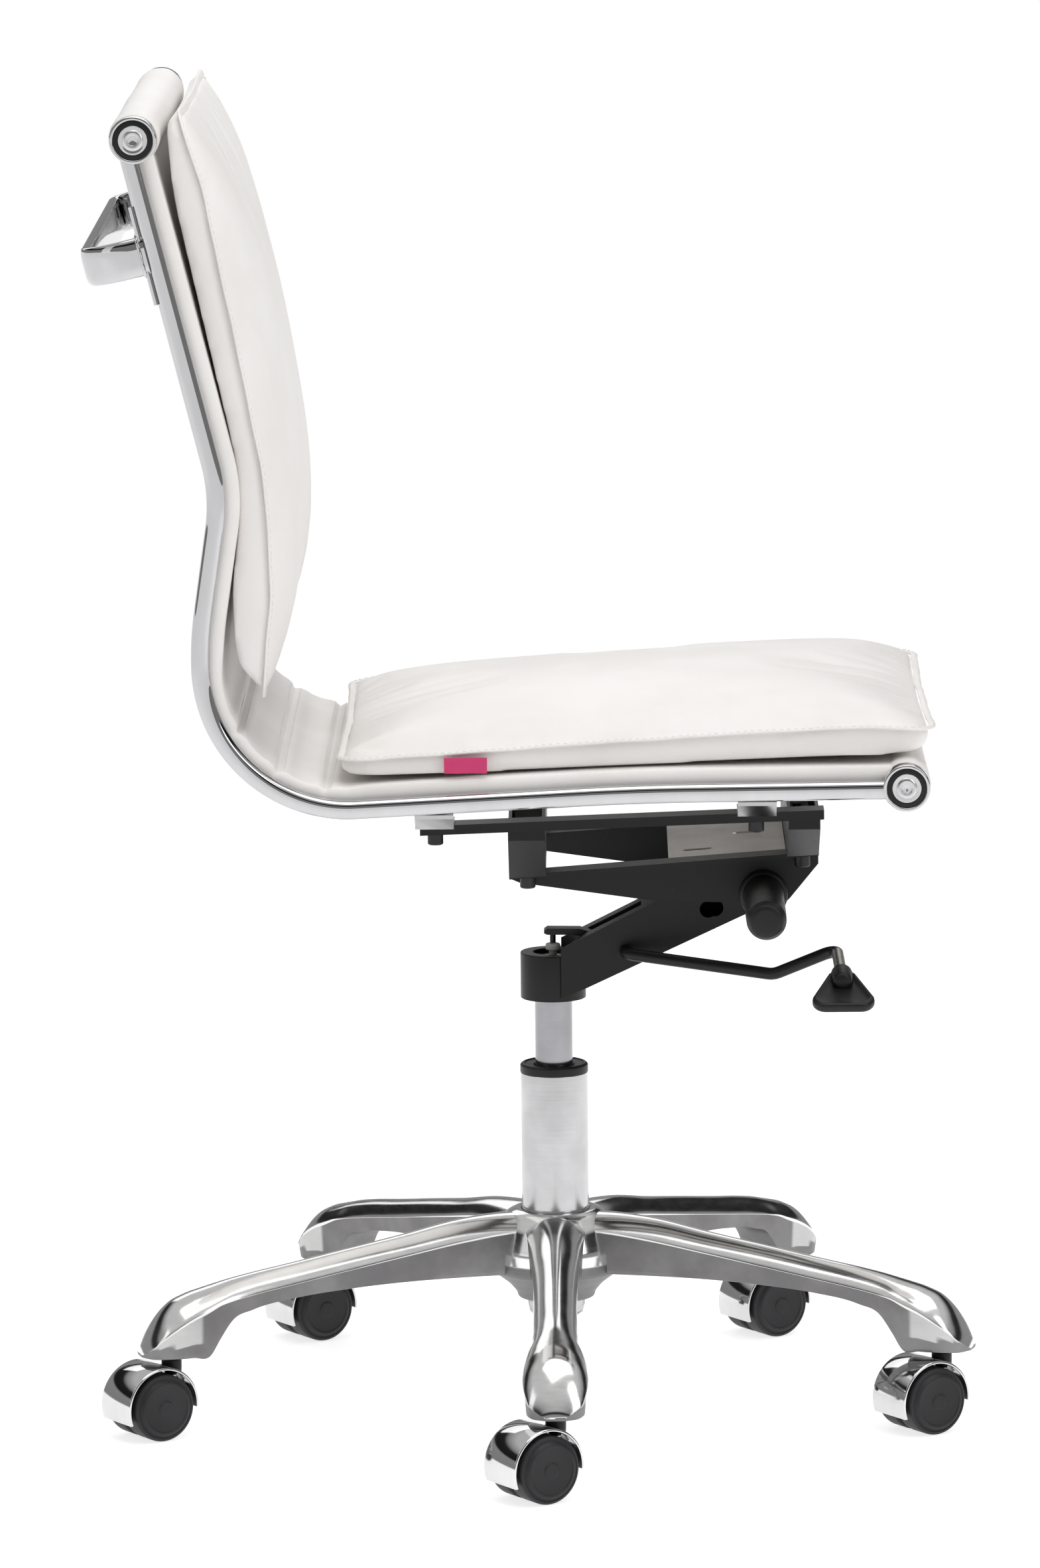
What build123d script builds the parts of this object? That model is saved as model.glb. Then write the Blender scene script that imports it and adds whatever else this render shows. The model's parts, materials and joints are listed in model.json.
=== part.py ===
from build123d import *
from math import atan2, cos, degrees, hypot, radians, sin
import os

# Swivel office chair. Millimetres. +X is the seat's front, +Y the sitter's left, +Z up.
# The origin is on the floor, on the axis of the gas lift.

# ---- driving dimensions: base and casters ----
LEG_ANGLES = [-90, -18, 54, 126, 198]
STEM_CIRCLE_R = 299.5
FOOT_BOTTOM_Z = 60.0
LEG_WALL = 5.0
LEG_RIB = 4.0
LEG_HOLLOW_END = 246.0
CREST_SHARE = 0.42
HUB_BOTTOM_Z = 81.5
HUB_TOP_Z = 148.5
HUB_BORE_R = 25.05
SOCKET_R = 8.0
SOCKET_TOP_Z = 84.0
STEM_R = 5.5
STEM_TOP_Z = 82.0
STEM_LOW_Z = 30.0
WHEEL_R = 25.0
WHEEL_INNER = 2.6
WHEEL_OUTER = 24.0
WHEEL_FACE = 21.6
WHEEL_CLEARANCE = 1.2
AXLE_R = 3.0
AXLE_HALF_LENGTH = 21.0
TRAIL = 19.0
HOOD_R = 31.0
HOOD_WALL = 2.0
HOOD_HALF_WIDTH = 20.0
WEB_HALF_THICKNESS = 2.0
BOSS_R = 7.5
BOSS_TOP_Z = 57.0
CASTER_HEADING = 214.0

# ---- driving dimensions: gas lift ----
TUBE_R = 25.0
TUBE_WALL = 1.5
TUBE_TOP_Z = 252.2
COLLAR_TOP_Z = 259.5
BUSH_BOTTOM_Z = 182.0
BOTTOM_PLATE_Z = (84.0, 88.0)
BEARING_R = 12.0
BEARING_TOP_Z = 94.0
CYLINDER_R = 14.0
CYLINDER_WALL = 1.5
CYLINDER_BOTTOM_Z = 140.0
CYLINDER_TOP_Z = 340.0
CYLINDER_FLOOR = 8.0
CYLINDER_HEAD = 12.0
PISTON_ROD_R = 5.0
PISTON_LENGTH = 10.0
HEAD_Z = 188.0
BUTTON_R = 5.5
BUTTON_STEM_R = 3.0
BUTTON_TOP_Z = 349.5
BUTTON_HEAD = 4.9
RUNNING = 0.05
FREE_FIT = 0.4

# ---- driving dimensions: mechanism ----
SLEEVE_R = 24.3
SLEEVE_BOTTOM_Z = 308.6
SLEEVE_TOP_Z = 343.2
ARM_HALF_WIDTH = 25.0
ARM_WALL = 3.0
ARM_HOLE = (115.5, 378.0)
ARM_HOLE_R = 6.3
PIVOT_X = 155.5
PIVOT_Z = 399.0
PIVOT_R = 7.0
SPRING_R = 12.5
LEVER_X = 54.0
LEVER_Z = 347.5
LEVER_R = 4.3
FINGER_HALF_WIDTH = 6.5
FINGER_SLOT_HALF_WIDTH = 9.0
FINGER_STUD_R = 2.2
FINGER_STUD_GAP = 0.4
FINGER_STUD_TOP_Z = 358.0
PADDLE_X = 210.0
PADDLE_Y = -184.0
PADDLE_Z = 355.0
PADDLE_DROOP = 17.0
PADDLE_THICKNESS = 7.0
PADDLE_SOCKET_R = 7.6
PADDLE_SOCKET_Y = (-206.0, -174.0)
BRACKET_HALF_WIDTH = 80.0
BRACKET_WALL = 3.0
BRACKET_FLANGE = 20.0
BRACKET_X = (-31.0, 196.0)
BRACKET_TOP_Z = (417.5, 433.3)
BARE_PLATE_X = (86.0, 172.0)
BARE_PLATE_THICKNESS = 2.5
BARE_PLATE_SLOTS = ((108.0, -48.0), (146.0, 12.0))
SLOT_R = 4.0
SLOT_REACH = 8.0
KNOB_R = 14.8
KNOB_COLLAR_R = 18.0
KNOB_COLLAR = 6.0
KNOB_GAP = 0.5
KNOB_END_Y = -200.0
SPINDLE_R = 4.0
SPINDLE_LENGTH = 24.0

# ---- driving dimensions: seat frame ----
MEMBER_HALF_LENGTH = 165.0
MEMBER_FOOT_Y = 111.5
MEMBER_TIP = 8.0
MEMBER_WALL = 2.5
MEMBER_OPEN = 40.0
REAR_MEMBER_X = (-31.0, -4.0)
FRONT_MEMBER_X = (172.5, 195.5)
MEMBER_BOLT_Y = 91.0
MOUNT_RAIL_X = (-94.5, 198.0)
MOUNT_RAIL_TOP_Z = (467.1, 476.3)
MOUNT_RAIL_Y = (153.5, 175.5)
MOUNT_RAIL_HEIGHT = 7.0
TAB_X = [-83.5, 149.0]
TAB_BOLT_Y = 164.5
TAB_HALF_WIDTH = 14.0
TAB_END_Y = 155.0
TAB_BEND_Y = 195.0
TAB_THICKNESS = 3.0
BOLT_R = 3.0
BOLT_HEAD_R = 5.7
BOLT_HEAD = 8.2
BOLT_SOCKET_R = 2.9
BOLT_SOCKET_DEPTH = 4.0
RAIL_SIZE = 13.8
RAIL_CORNER = 5.0
RAIL_Y = 215.1
CAP_R = 17.0
CAP_INNER_Y = 208.0
CAP_FACE_Y = 224.0
CAP_RECESS_R = 10.4
CAP_RECESS = 3.0
CAP_BORE_R = 5.0
ROLL_R = 18.5
BAR_R = 12.7
BAR_TUBE_WALL = 2.0
BAR_PLUG = 18.0
SLING_HALF_WIDTH = 207.9
SLING_NEAR = 1.0
SLING_FAR = 16.0
PAD_HALF_WIDTH = 205.0
HANDLE_Z = 889.0
HANDLE_DEPTH = 44.0
HANDLE_BAND = 10.0
HANDLE_HEIGHT = 28.0
HANDLE_BEND_R = 31.0
HANDLE_PLATE = (3.2, 6.5, 37.0)

# ---- outlines ----
# Centreline of a side rail in the XZ plane: back lean, lumbar bend, corner, seat.
RAIL_POINTS = [
    (-298.0, 972.0), (-234.2, 714.4), (-249.5, 612.7), (-249.5, 481.1), (60.0, 496.0), (256.2, 497.2),
]
RAIL_RADII = [121.0, 250.0, 105.0, 2000.0]
TOP_ROLL = (-291.2, 969.8)
FRONT_ROLL = (256.2, 499.2)

# Pads in the XZ plane, and the bend at each of their corners.
BACK_PAD_REAR = [
    (-266.5, 986.0), (-262.0, 925.0), (-216.0, 722.0), (-225.5, 640.0), (-226.5, 588.0), (-206.0, 565.0),
]
BACK_PAD_FRONT = [(-194.0, 566.0), (-177.0, 675.0), (-181.0, 765.0), (-232.0, 984.0)]
BACK_PAD_RADII = [6.0, 150.0, 250.0, 150.0, 12.0, 5.0, 5.0, 200.0, 300.0, 12.0]
SEAT_PAD_UNDER = [(-150.0, 507.0), (-60.0, 508.5), (100.0, 515.0), (240.0, 520.5), (274.0, 521.5)]
SEAT_PAD_TOP = [
    (277.0, 541.0), (252.0, 561.0), (120.0, 559.5), (-60.0, 551.0), (-138.0, 545.0), (-152.0, 530.0),
]
SEAT_PAD_RADII = [4.0, 300.0, 300.0, 60.0, 5.0, 8.0, 10.0, 400.0, 400.0, 8.0, 8.0]
TAG_X = (-76.0, -45.0)
TAG_Z = (510.5, 522.0)

# Each row of a leg: distance from the axis, half width, underside, shoulder and crest heights.
LEG_SECTIONS = [
    (18.0, 24.0, 104.0, 137.0, 148.0),
    (60.0, 20.0, 104.0, 135.0, 147.0),
    (120.0, 16.5, 103.5, 124.5, 136.0),
    (205.0, 16.0, 98.0, 109.5, 121.5),
    (252.0, 17.0, 88.0, 101.5, 113.5),
    (264.0, 18.5, 77.0, 98.5, 110.8),
    (274.0, 21.5, FOOT_BOTTOM_Z, 96.0, 108.3),
    (297.0, 23.5, FOOT_BOTTOM_Z, 87.0, 100.5),
    (313.0, 19.5, FOOT_BOTTOM_Z, 74.0, 84.0),
    (323.0, 11.0, FOOT_BOTTOM_Z, 62.0, 66.0),
]
# The hub as (radius, height).
HUB_OUTLINE = [
    (20.0, HUB_BOTTOM_Z), (28.5, HUB_BOTTOM_Z), (29.5, 86.0), (35.5, 93.0), (46.0, 101.0),
    (58.0, 104.5), (58.0, 118.0), (40.0, 144.0), (30.0, HUB_TOP_Z), (20.0, HUB_TOP_Z),
]
# The plug in the tube's lower end as (radius, height).
BOTTOM_CAP_OUTLINE = [
    (0, 66.0), (15.0, 66.0), (20.0, 70.0), (21.4, 76.0), (21.4, HUB_BOTTOM_Z), (23.4, HUB_BOTTOM_Z),
    (23.4, 83.9), (19.4, 83.9), (19.4, 76.5), (18.2, 71.4), (14.4, 68.0), (0, 68.0),
]
# The wheel as (radius, distance from the caster's middle).
WHEEL_OUTLINE = [
    (AXLE_R + RUNNING, WHEEL_INNER), (24.0, WHEEL_INNER), (WHEEL_R, WHEEL_INNER + 1), (WHEEL_R, 20.0),
    (24.3, 21.6), (22.4, 22.2), (21.2, 22.6), (20.0, WHEEL_OUTER), (0, WHEEL_OUTER),
    (0, WHEEL_FACE), (AXLE_R + RUNNING, WHEEL_FACE),
]
# The arm, its hollow and the release finger in the XZ plane.
ARM_OUTLINE = [
    (6.0, 312.0), (25.0, 319.5), (70.0, 340.0), (143.0, 374.0), (166.0, 388.0), (168.0, 402.0),
    (158.0, 411.0), (140.0, 411.0), (77.0, 384.5), (6.0, 349.2),
]
ARM_INSIDE = [
    (20.0, 321.0), (70.0, 344.0), (141.0, 377.5), (162.0, 391.0), (163.0, 406.0), (142.0, 407.0),
    (79.0, 380.5), (20.0, 352.5),
]
FINGER_OUTLINE = [
    (60.0, 343.0), (61.0, 352.0), (40.0, 354.5), (30.0, 358.2), (20.0, 361.0), (-4.0, 361.4), (-6.5, 359.6),
    (-6.5, 357.6), (-4.0, 356.6), (14.0, 356.5), (22.0, 355.0), (30.0, 351.5), (46.0, 342.0),
]
LEVER_POINTS = [
    (LEVER_X, 21.0, LEVER_Z), (LEVER_X, -38.0, LEVER_Z), (162.0, -112.0, 344.5),
    (208.0, -124.0, 365.0), (PADDLE_X, -192.0, 354.5),
]
LEVER_BENDS = [14.0, 16.0, 14.0]
PADDLE_OUTLINE = [(-9.0, 2.0), (9.0, 2.0), (24.0, -40.0), (17.0, -50.0), (-17.0, -50.0), (-24.0, -40.0)]
PADDLE_CORNER_R = 7.0
BRACKET_UNDERSIDE = [
    (-30.0, 411.5), (-23.0, 408.5), (-8.0, 406.0), (74.0, 394.5), (PIVOT_X - 18, 392.5),
    (PIVOT_X - 10, 386.0), (PIVOT_X + 10, 386.0), (PIVOT_X + 17, 393.0), (175.0, 395.5), (196.0, 421.0),
]


def side_point(x, z):
    """A point of the side view, on the chair's middle plane."""
    return Vector(x, 0, z)


def side_plate(outline, y_low, y_high):
    """A flat plate whose outline is drawn in the side view."""
    edges = Polyline(*[side_point(x, z) for x, z in outline], close=True)
    plate = extrude(make_face(edges), amount=y_high - y_low, dir=(0, 1, 0))
    return Pos(0, y_low, 0) * plate


def cross_rod(x, z, radius, y_low, y_high):
    """A round bar along Y."""
    bar = Rot(-90, 0, 0) * Cylinder(radius, y_high - y_low, align=(Align.CENTER, Align.CENTER, Align.MIN))
    return Pos(x, y_low, z) * bar


def upright(radius, z_low, z_high, x=0.0, y=0.0):
    """A round bar along Z."""
    return Pos(x, y, z_low) * Cylinder(radius, z_high - z_low, align=(Align.CENTER, Align.CENTER, Align.MIN))


def solid_box(low, high):
    """A box given by two opposite corners."""
    size = [h - l for l, h in zip(low, high)]
    middle = [(h + l) / 2 for l, h in zip(low, high)]
    return Pos(*middle) * Box(*size)


def turned(outline):
    """A body turned about the Z axis from an outline of (radius, height)."""
    face = make_face(Polyline(*[side_point(r, z) for r, z in outline], close=True))
    return revolve(face, Axis.Z)


def save(name, shape):
    """Write one node, as a part or as a group of separate solids."""
    shape.label = name
    export_step(shape, f"parts/{name}.step")


def group(solids):
    """Several separate solids that share one node."""
    pieces = []
    for shape in solids:
        pieces.extend(shape.solids())
    return Compound(children=pieces)


def offset_route(points, radii, distance):
    """The rail route moved sideways towards the sitter, with its bends kept concentric."""
    normals = []
    for (x0, z0), (x1, z1) in zip(points, points[1:]):
        length = hypot(x1 - x0, z1 - z0)
        normals.append((-(z1 - z0) / length, (x1 - x0) / length))
    moved = [(points[0][0] + normals[0][0] * distance, points[0][1] + normals[0][1] * distance)]
    bends = []
    for index in range(1, len(points) - 1):
        nx0, nz0 = normals[index - 1]
        nx1, nz1 = normals[index]
        scale = distance / (1 + nx0 * nx1 + nz0 * nz1)
        x, z = points[index]
        moved.append((x + (nx0 + nx1) * scale, z + (nz0 + nz1) * scale))
        turns_left = nx0 * nz1 - nz0 * nx1 > 0
        bends.append(radii[index - 1] + (-distance if turns_left else distance))
    nx, nz = normals[-1]
    moved.append((points[-1][0] + nx * distance, points[-1][1] + nz * distance))
    return moved, bends


def beside_rail(distance):
    """A line beside the rail's centreline, with its end points."""
    points, radii = offset_route(RAIL_POINTS, RAIL_RADII, distance)
    corners = [side_point(x, z) for x, z in points]
    return FilletPolyline(*corners, radius=radii), (corners[0], corners[-1])


def rail_frame(z):
    """Centreline point and lean of the rail's straight upper part at a height."""
    (x0, z0), (x1, z1) = RAIL_POINTS[0], RAIL_POINTS[1]
    lean = degrees(atan2(x1 - x0, z0 - z1))
    return x0 + (z0 - z) * (x1 - x0) / (z0 - z1), lean


# ---------------- base ----------------
def leg_section(distance, half, low, shoulder, crest):
    """Cross-section of a leg: flat underside, upright sides, bevelled top."""
    narrow = half * CREST_SHARE
    outline = [
        (-half, low), (half, low), (half, shoulder),
        (narrow, crest), (-narrow, crest), (-half, shoulder),
    ]
    return make_face(Polyline(*[Vector(distance, y, z) for y, z in outline], close=True))


def leg_hollow():
    """The two open channels under a leg, one on each side of its middle rib."""
    sections = []
    for distance, half, low, shoulder, _ in LEG_SECTIONS[1:5]:
        inner = half - LEG_WALL
        reach = min(distance, LEG_HOLLOW_END)
        top = shoulder - LEG_WALL
        outline = [(-inner, low - 3), (inner, low - 3), (inner, top), (-inner, top)]
        sections.append(make_face(Polyline(*[Vector(reach, y, z) for y, z in outline], close=True)))
    rib = solid_box((0, -LEG_RIB / 2, FOOT_BOTTOM_Z), (STEM_CIRCLE_R, LEG_RIB / 2, HUB_TOP_Z))
    return loft(sections, ruled=True) - rib


def base_star():
    """Five legs on a turned hub, with bores for the column and the caster sockets."""
    leg = loft([leg_section(*row) for row in LEG_SECTIONS], ruled=True) - leg_hollow()
    leg -= upright(SOCKET_R, FOOT_BOTTOM_Z - 1, SOCKET_TOP_Z, x=STEM_CIRCLE_R)
    star = turned(HUB_OUTLINE)
    for angle in LEG_ANGLES:
        star += Rot(0, 0, angle) * leg
    return star - upright(HUB_BORE_R, 0, 2 * HUB_TOP_Z)


def caster_sockets():
    """Sleeves in the feet that hold the caster stems."""
    sleeve = upright(SOCKET_R, FOOT_BOTTOM_Z, SOCKET_TOP_Z) - upright(STEM_R + RUNNING, 0, SOCKET_TOP_Z - 1.5)
    places = [Rot(0, 0, angle) * Pos(STEM_CIRCLE_R, 0, 0) for angle in LEG_ANGLES]
    return group([place * sleeve for place in places])


# ---------------- casters ----------------
AXLE_PLACE = Pos(TRAIL, 0, WHEEL_R)


def axle_disc(radius, half_width):
    """A disc on the axle line, in the caster's own place."""
    return AXLE_PLACE * cross_rod(0, 0, radius, -half_width, half_width)


def caster_wheel(side):
    """One wheel of a twin caster: domed outer face, blind bore, rounded tread edges."""
    return AXLE_PLACE * (Rot(-90 * side, 0, 0) * turned(WHEEL_OUTLINE))


def caster_hood():
    """Fender over both wheels, the web between them and the stem boss."""
    reach = 2 * HOOD_R
    shell = axle_disc(HOOD_R, HOOD_HALF_WIDTH) - axle_disc(HOOD_R - HOOD_WALL, HOOD_HALF_WIDTH + 1)
    open_side = [(-reach, -5.5), (0, 0), (reach, -22.5), (reach, -reach), (-reach, -reach)]
    shell -= AXLE_PLACE * side_plate(open_side, -reach, reach)
    web_open = [
        (-reach, -4.0), (-6, -4.0), (0, -7.0), (6, -7.0), (reach, -4.0), (reach, -reach), (-reach, -reach),
    ]
    web = axle_disc(HOOD_R - HOOD_WALL + 0.5, WEB_HALF_THICKNESS)
    web -= AXLE_PLACE * side_plate(web_open, -reach, reach)
    boss = upright(BOSS_R, WHEEL_R, BOSS_TOP_Z) - axle_disc(WHEEL_R + WHEEL_CLEARANCE, STEM_LOW_Z)
    hood = shell + web + boss
    hood -= upright(STEM_R, STEM_LOW_Z, SOCKET_TOP_Z)
    return hood - axle_disc(AXLE_R, HOOD_R)


def caster_pins():
    """The stem and the axle of a caster."""
    stem = upright(STEM_R, STEM_LOW_Z, STEM_TOP_Z) - axle_disc(WHEEL_R + WHEEL_CLEARANCE, STEM_LOW_Z)
    return group([stem, axle_disc(AXLE_R, AXLE_HALF_LENGTH)])


def save_casters():
    """Five casters, all trailing the same way."""
    pieces = {
        "hood": caster_hood(),
        "pins": caster_pins(),
        "wheel_a": caster_wheel(1),
        "wheel_b": caster_wheel(-1),
    }
    for number, angle in enumerate(LEG_ANGLES, start=1):
        x = STEM_CIRCLE_R * cos(radians(angle))
        y = STEM_CIRCLE_R * sin(radians(angle))
        place = Pos(x, y, 0) * Rot(0, 0, CASTER_HEADING)
        for piece, shape in pieces.items():
            save(f"caster_{number}_{piece}", place * shape)


# ---------------- gas lift ----------------
def tube(radius, bore, z_low, z_high):
    """A straight round tube on the chair's axis."""
    return upright(radius, z_low, z_high) - upright(bore, 0, 2 * COLLAR_TOP_Z)


def column_tube():
    """Outer tube with the plate that carries the thrust bearing."""
    plate = tube(TUBE_R - TUBE_WALL + 0.2, PISTON_ROD_R + FREE_FIT, *BOTTOM_PLATE_Z)
    return tube(TUBE_R, TUBE_R - TUBE_WALL, HUB_BOTTOM_Z, TUBE_TOP_Z) + plate


def column_collar():
    """Ring that finishes the top of the tube."""
    ring = tube(TUBE_R, CYLINDER_R + 0.6, TUBE_TOP_Z, COLLAR_TOP_Z)
    top_edges = ring.edges().filter_by(GeomType.CIRCLE).group_by(Axis.Z)[-1]
    return chamfer(top_edges.sort_by(SortBy.RADIUS)[-1], 1.2)


def gas_cylinder():
    """Cylinder that slides in the bush: hollow, open below for the rod and above for the button."""
    cylinder = upright(CYLINDER_R, CYLINDER_BOTTOM_Z, CYLINDER_TOP_Z)
    hollow_low = CYLINDER_BOTTOM_Z + CYLINDER_FLOOR
    hollow_high = CYLINDER_TOP_Z - CYLINDER_HEAD
    cylinder -= upright(CYLINDER_R - CYLINDER_WALL, hollow_low, hollow_high)
    cylinder -= upright(PISTON_ROD_R + RUNNING, 0, hollow_low + 1)
    return cylinder - upright(BUTTON_STEM_R + RUNNING, hollow_high - 1, CYLINDER_TOP_Z + 1)


def piston_rod():
    """Fixed rod with a collar on the bearing and a piston inside the cylinder."""
    rod = upright(PISTON_ROD_R, 74.0, HEAD_Z) + upright(9.0, BEARING_TOP_Z + 0.1, BEARING_TOP_Z + 2)
    return rod + upright(CYLINDER_R - CYLINDER_WALL - RUNNING, HEAD_Z, HEAD_Z + PISTON_LENGTH)


def valve_button():
    """Button on its stem, with a softened top edge."""
    head_low = BUTTON_TOP_Z - BUTTON_HEAD
    button = upright(BUTTON_R, head_low, BUTTON_TOP_Z)
    button += upright(BUTTON_STEM_R, CYLINDER_TOP_Z - CYLINDER_HEAD / 2, head_low + 0.4)
    top_rim = button.edges().filter_by(GeomType.CIRCLE).group_by(Axis.Z)[-1]
    return fillet(top_rim, 1.5)


def save_gas_lift():
    """Column, bush, bearing, rod, cylinder and button."""
    save("column_tube", column_tube())
    save("column_collar", column_collar())
    save("guide_bush", tube(TUBE_R - TUBE_WALL, CYLINDER_R + RUNNING, BUSH_BOTTOM_Z, TUBE_TOP_Z - 0.2))
    save("thrust_bearing", tube(BEARING_R, PISTON_ROD_R + FREE_FIT, BOTTOM_PLATE_Z[1], BEARING_TOP_Z))
    save("bottom_cap", turned(BOTTOM_CAP_OUTLINE))
    save("piston_rod", piston_rod())
    save("rod_clip", tube(9.0, PISTON_ROD_R, 81.0, 83.8))
    save("gas_cylinder", gas_cylinder())
    save("valve_button", valve_button())


# ---------------- tilt mechanism ----------------
def hub_sleeve():
    """Sleeve that the cylinder's taper is pressed into."""
    return tube(SLEEVE_R, CYLINDER_R, SLEEVE_BOTTOM_Z, SLEEVE_TOP_Z)


def tilt_arm():
    """Box arm from the sleeve to the front pivot, open above the lever finger."""
    outer = ARM_HALF_WIDTH
    inner = outer - ARM_WALL
    arm = side_plate(ARM_OUTLINE, -outer, outer) - side_plate(ARM_INSIDE, -inner, inner)
    arm -= upright(SLEEVE_R, 0, 2 * SLEEVE_TOP_Z)
    finger_room = FINGER_SLOT_HALF_WIDTH
    arm -= solid_box((0, -finger_room, 340), (66, finger_room, 400))
    arm -= cross_rod(PIVOT_X, PIVOT_Z, PIVOT_R, -2 * outer, 2 * outer)
    arm -= cross_rod(LEVER_X, LEVER_Z, LEVER_R + RUNNING, -2 * outer, 2 * outer)
    hole_x, hole_z = ARM_HOLE
    for shift_x, shift_z in ((0.0, 0.0), (5.0, 1.0)):
        arm -= cross_rod(hole_x + shift_x, hole_z + shift_z, ARM_HOLE_R, -2 * outer, 0)
    return arm


def spring_sleeves():
    """Two rubber-sprung sleeves on the pivot, one on each side of the arm."""
    near = ARM_HALF_WIDTH + 1.5
    far = BRACKET_HALF_WIDTH - BRACKET_WALL - 1.5
    bore = cross_rod(PIVOT_X, PIVOT_Z, PIVOT_R + 1.0, -2 * far, 2 * far)
    sleeves = [cross_rod(PIVOT_X, PIVOT_Z, SPRING_R, *ends) for ends in ((-far, -near), (near, far))]
    return group([sleeve - bore for sleeve in sleeves])


def save_mechanism():
    """Sleeve, arm, pivot pin and spring."""
    save("hub_sleeve", hub_sleeve())
    save("tilt_arm", tilt_arm())
    outer = BRACKET_HALF_WIDTH
    pin = cross_rod(PIVOT_X, PIVOT_Z, PIVOT_R, -outer, outer)
    pin -= cross_rod(PIVOT_X, PIVOT_Z, SPINDLE_R + RUNNING, -outer - 1, -outer + SPINDLE_LENGTH + 1)
    save("pivot_pin", pin)
    save("tilt_spring", spring_sleeves())


def lever_paddle(rod):
    """Moulded blade that droops from a socket on the rod's end."""
    corners = [Vector(x, y, 0) for x, y in PADDLE_OUTLINE]
    edges = FilletPolyline(*corners, radius=PADDLE_CORNER_R, close=True)
    blade = extrude(make_face(edges), amount=PADDLE_THICKNESS / 2, both=True)
    blade = fillet(blade.edges().group_by(Axis.Z)[-1], 1.6)
    blade = Pos(PADDLE_X, PADDLE_Y, PADDLE_Z) * (Rot(PADDLE_DROOP, 0, 0) * blade)
    socket = cross_rod(PADDLE_X, LEVER_POINTS[-1][2], PADDLE_SOCKET_R, *PADDLE_SOCKET_Y)
    socket = fillet(socket.edges().filter_by(GeomType.CIRCLE), 2.0)
    return blade + socket - rod


def save_lever():
    """Bent rod, the finger that presses the button, and the moulded paddle."""
    route = FilletPolyline(*LEVER_POINTS, radius=LEVER_BENDS)
    section = Plane(origin=LEVER_POINTS[0], z_dir=(0, -1, 0)) * Circle(LEVER_R)
    rod = sweep(section, path=route)
    finger = side_plate(FINGER_OUTLINE, -FINGER_HALF_WIDTH, FINGER_HALF_WIDTH)
    finger -= cross_rod(LEVER_X, LEVER_Z, LEVER_R, -ARM_HALF_WIDTH, ARM_HALF_WIDTH)
    finger += upright(FINGER_STUD_R, BUTTON_TOP_Z + FINGER_STUD_GAP, FINGER_STUD_TOP_Z)
    save("release_finger", finger)
    save("lever_rod", rod)
    save("lever_paddle", lever_paddle(rod))


def save_knob():
    """Long round knob that sets the spring's tension."""
    near = -(BRACKET_HALF_WIDTH + KNOB_GAP)
    knob = cross_rod(PIVOT_X, PIVOT_Z, KNOB_R, KNOB_END_Y, near)
    knob = fillet(knob.edges().filter_by(GeomType.CIRCLE).group_by(Axis.Y)[0], 5.0)
    knob += cross_rod(PIVOT_X, PIVOT_Z, KNOB_COLLAR_R, near - KNOB_COLLAR, near)
    knob += cross_rod(PIVOT_X, PIVOT_Z, SPINDLE_R, near, near + SPINDLE_LENGTH)
    save("tension_knob", knob)


# ---------------- seat bracket and frame ----------------
def line_height(x, ends, heights):
    """Height at x on a straight line between two end heights."""
    share = (x - ends[0]) / (ends[1] - ends[0])
    return heights[0] + share * (heights[1] - heights[0])


def bracket_top(x):
    """Height of the bracket's upper face."""
    return line_height(x, BRACKET_X, BRACKET_TOP_Z)


def rail_top(x):
    """Height of the mount rail's upper face."""
    return line_height(x, MOUNT_RAIL_X, MOUNT_RAIL_TOP_Z)


def rail_under(x):
    """Height of the mount rail's lower face."""
    return rail_top(x) - MOUNT_RAIL_HEIGHT


def rail_centre_height(x):
    """Height of the side rail's centreline under the seat."""
    (x0, z0), (x1, z1), (x2, z2) = RAIL_POINTS[3:6]
    if x < x1:
        return line_height(x, (x0, x1), (z0, z1))
    return line_height(x, (x1, x2), (z1, z2))


def sloped_plate(x_low, x_high, top, thickness, y_low, y_high):
    """A plate whose top follows a sloping line."""
    low = top(x_low)
    high = top(x_high)
    outline = [(x_low, low), (x_high, high), (x_high, high - thickness), (x_low, low - thickness)]
    return side_plate(outline, y_low, y_high)


def seat_bracket():
    """Two side plates with outturned top flanges, joined by a strip under each cross member."""
    x_low, x_high = BRACKET_X
    outline = BRACKET_UNDERSIDE + [(x_high, bracket_top(x_high)), (x_low, bracket_top(x_low))]
    outer = BRACKET_HALF_WIDTH
    bracket = side_plate(outline, -outer, -outer + BRACKET_WALL)
    bracket += side_plate(outline, outer - BRACKET_WALL, outer)
    for side in (-1, 1):
        edges = sorted([side * (outer - BRACKET_WALL), side * (outer + BRACKET_FLANGE)])
        bracket += sloped_plate(x_low, x_high, bracket_top, BRACKET_WALL, *edges)
    for ends in (REAR_MEMBER_X, FRONT_MEMBER_X):
        bracket += sloped_plate(*ends, bracket_top, BRACKET_WALL, -outer, outer)
    bracket -= cross_rod(PIVOT_X, PIVOT_Z, PIVOT_R + RUNNING, -2 * outer, 2 * outer)
    for x, y in member_bolt_places():
        bracket -= upright(BOLT_R, PIVOT_Z, rail_top(x), x=x, y=y)
    return bracket


def bracket_plate():
    """Bare plate between the side plates, with two slots."""
    half = BRACKET_HALF_WIDTH - BRACKET_WALL
    plate = sloped_plate(*BARE_PLATE_X, bracket_top, BARE_PLATE_THICKNESS, -half, half)
    for x, y in BARE_PLATE_SLOTS:
        for shift in (-SLOT_REACH, SLOT_REACH):
            plate -= upright(SLOT_R, PIVOT_Z, rail_top(x), x=x + shift, y=y)
        plate -= solid_box((x - SLOT_REACH, y - SLOT_R, PIVOT_Z), (x + SLOT_REACH, y + SLOT_R, rail_top(x)))
    return plate


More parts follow.
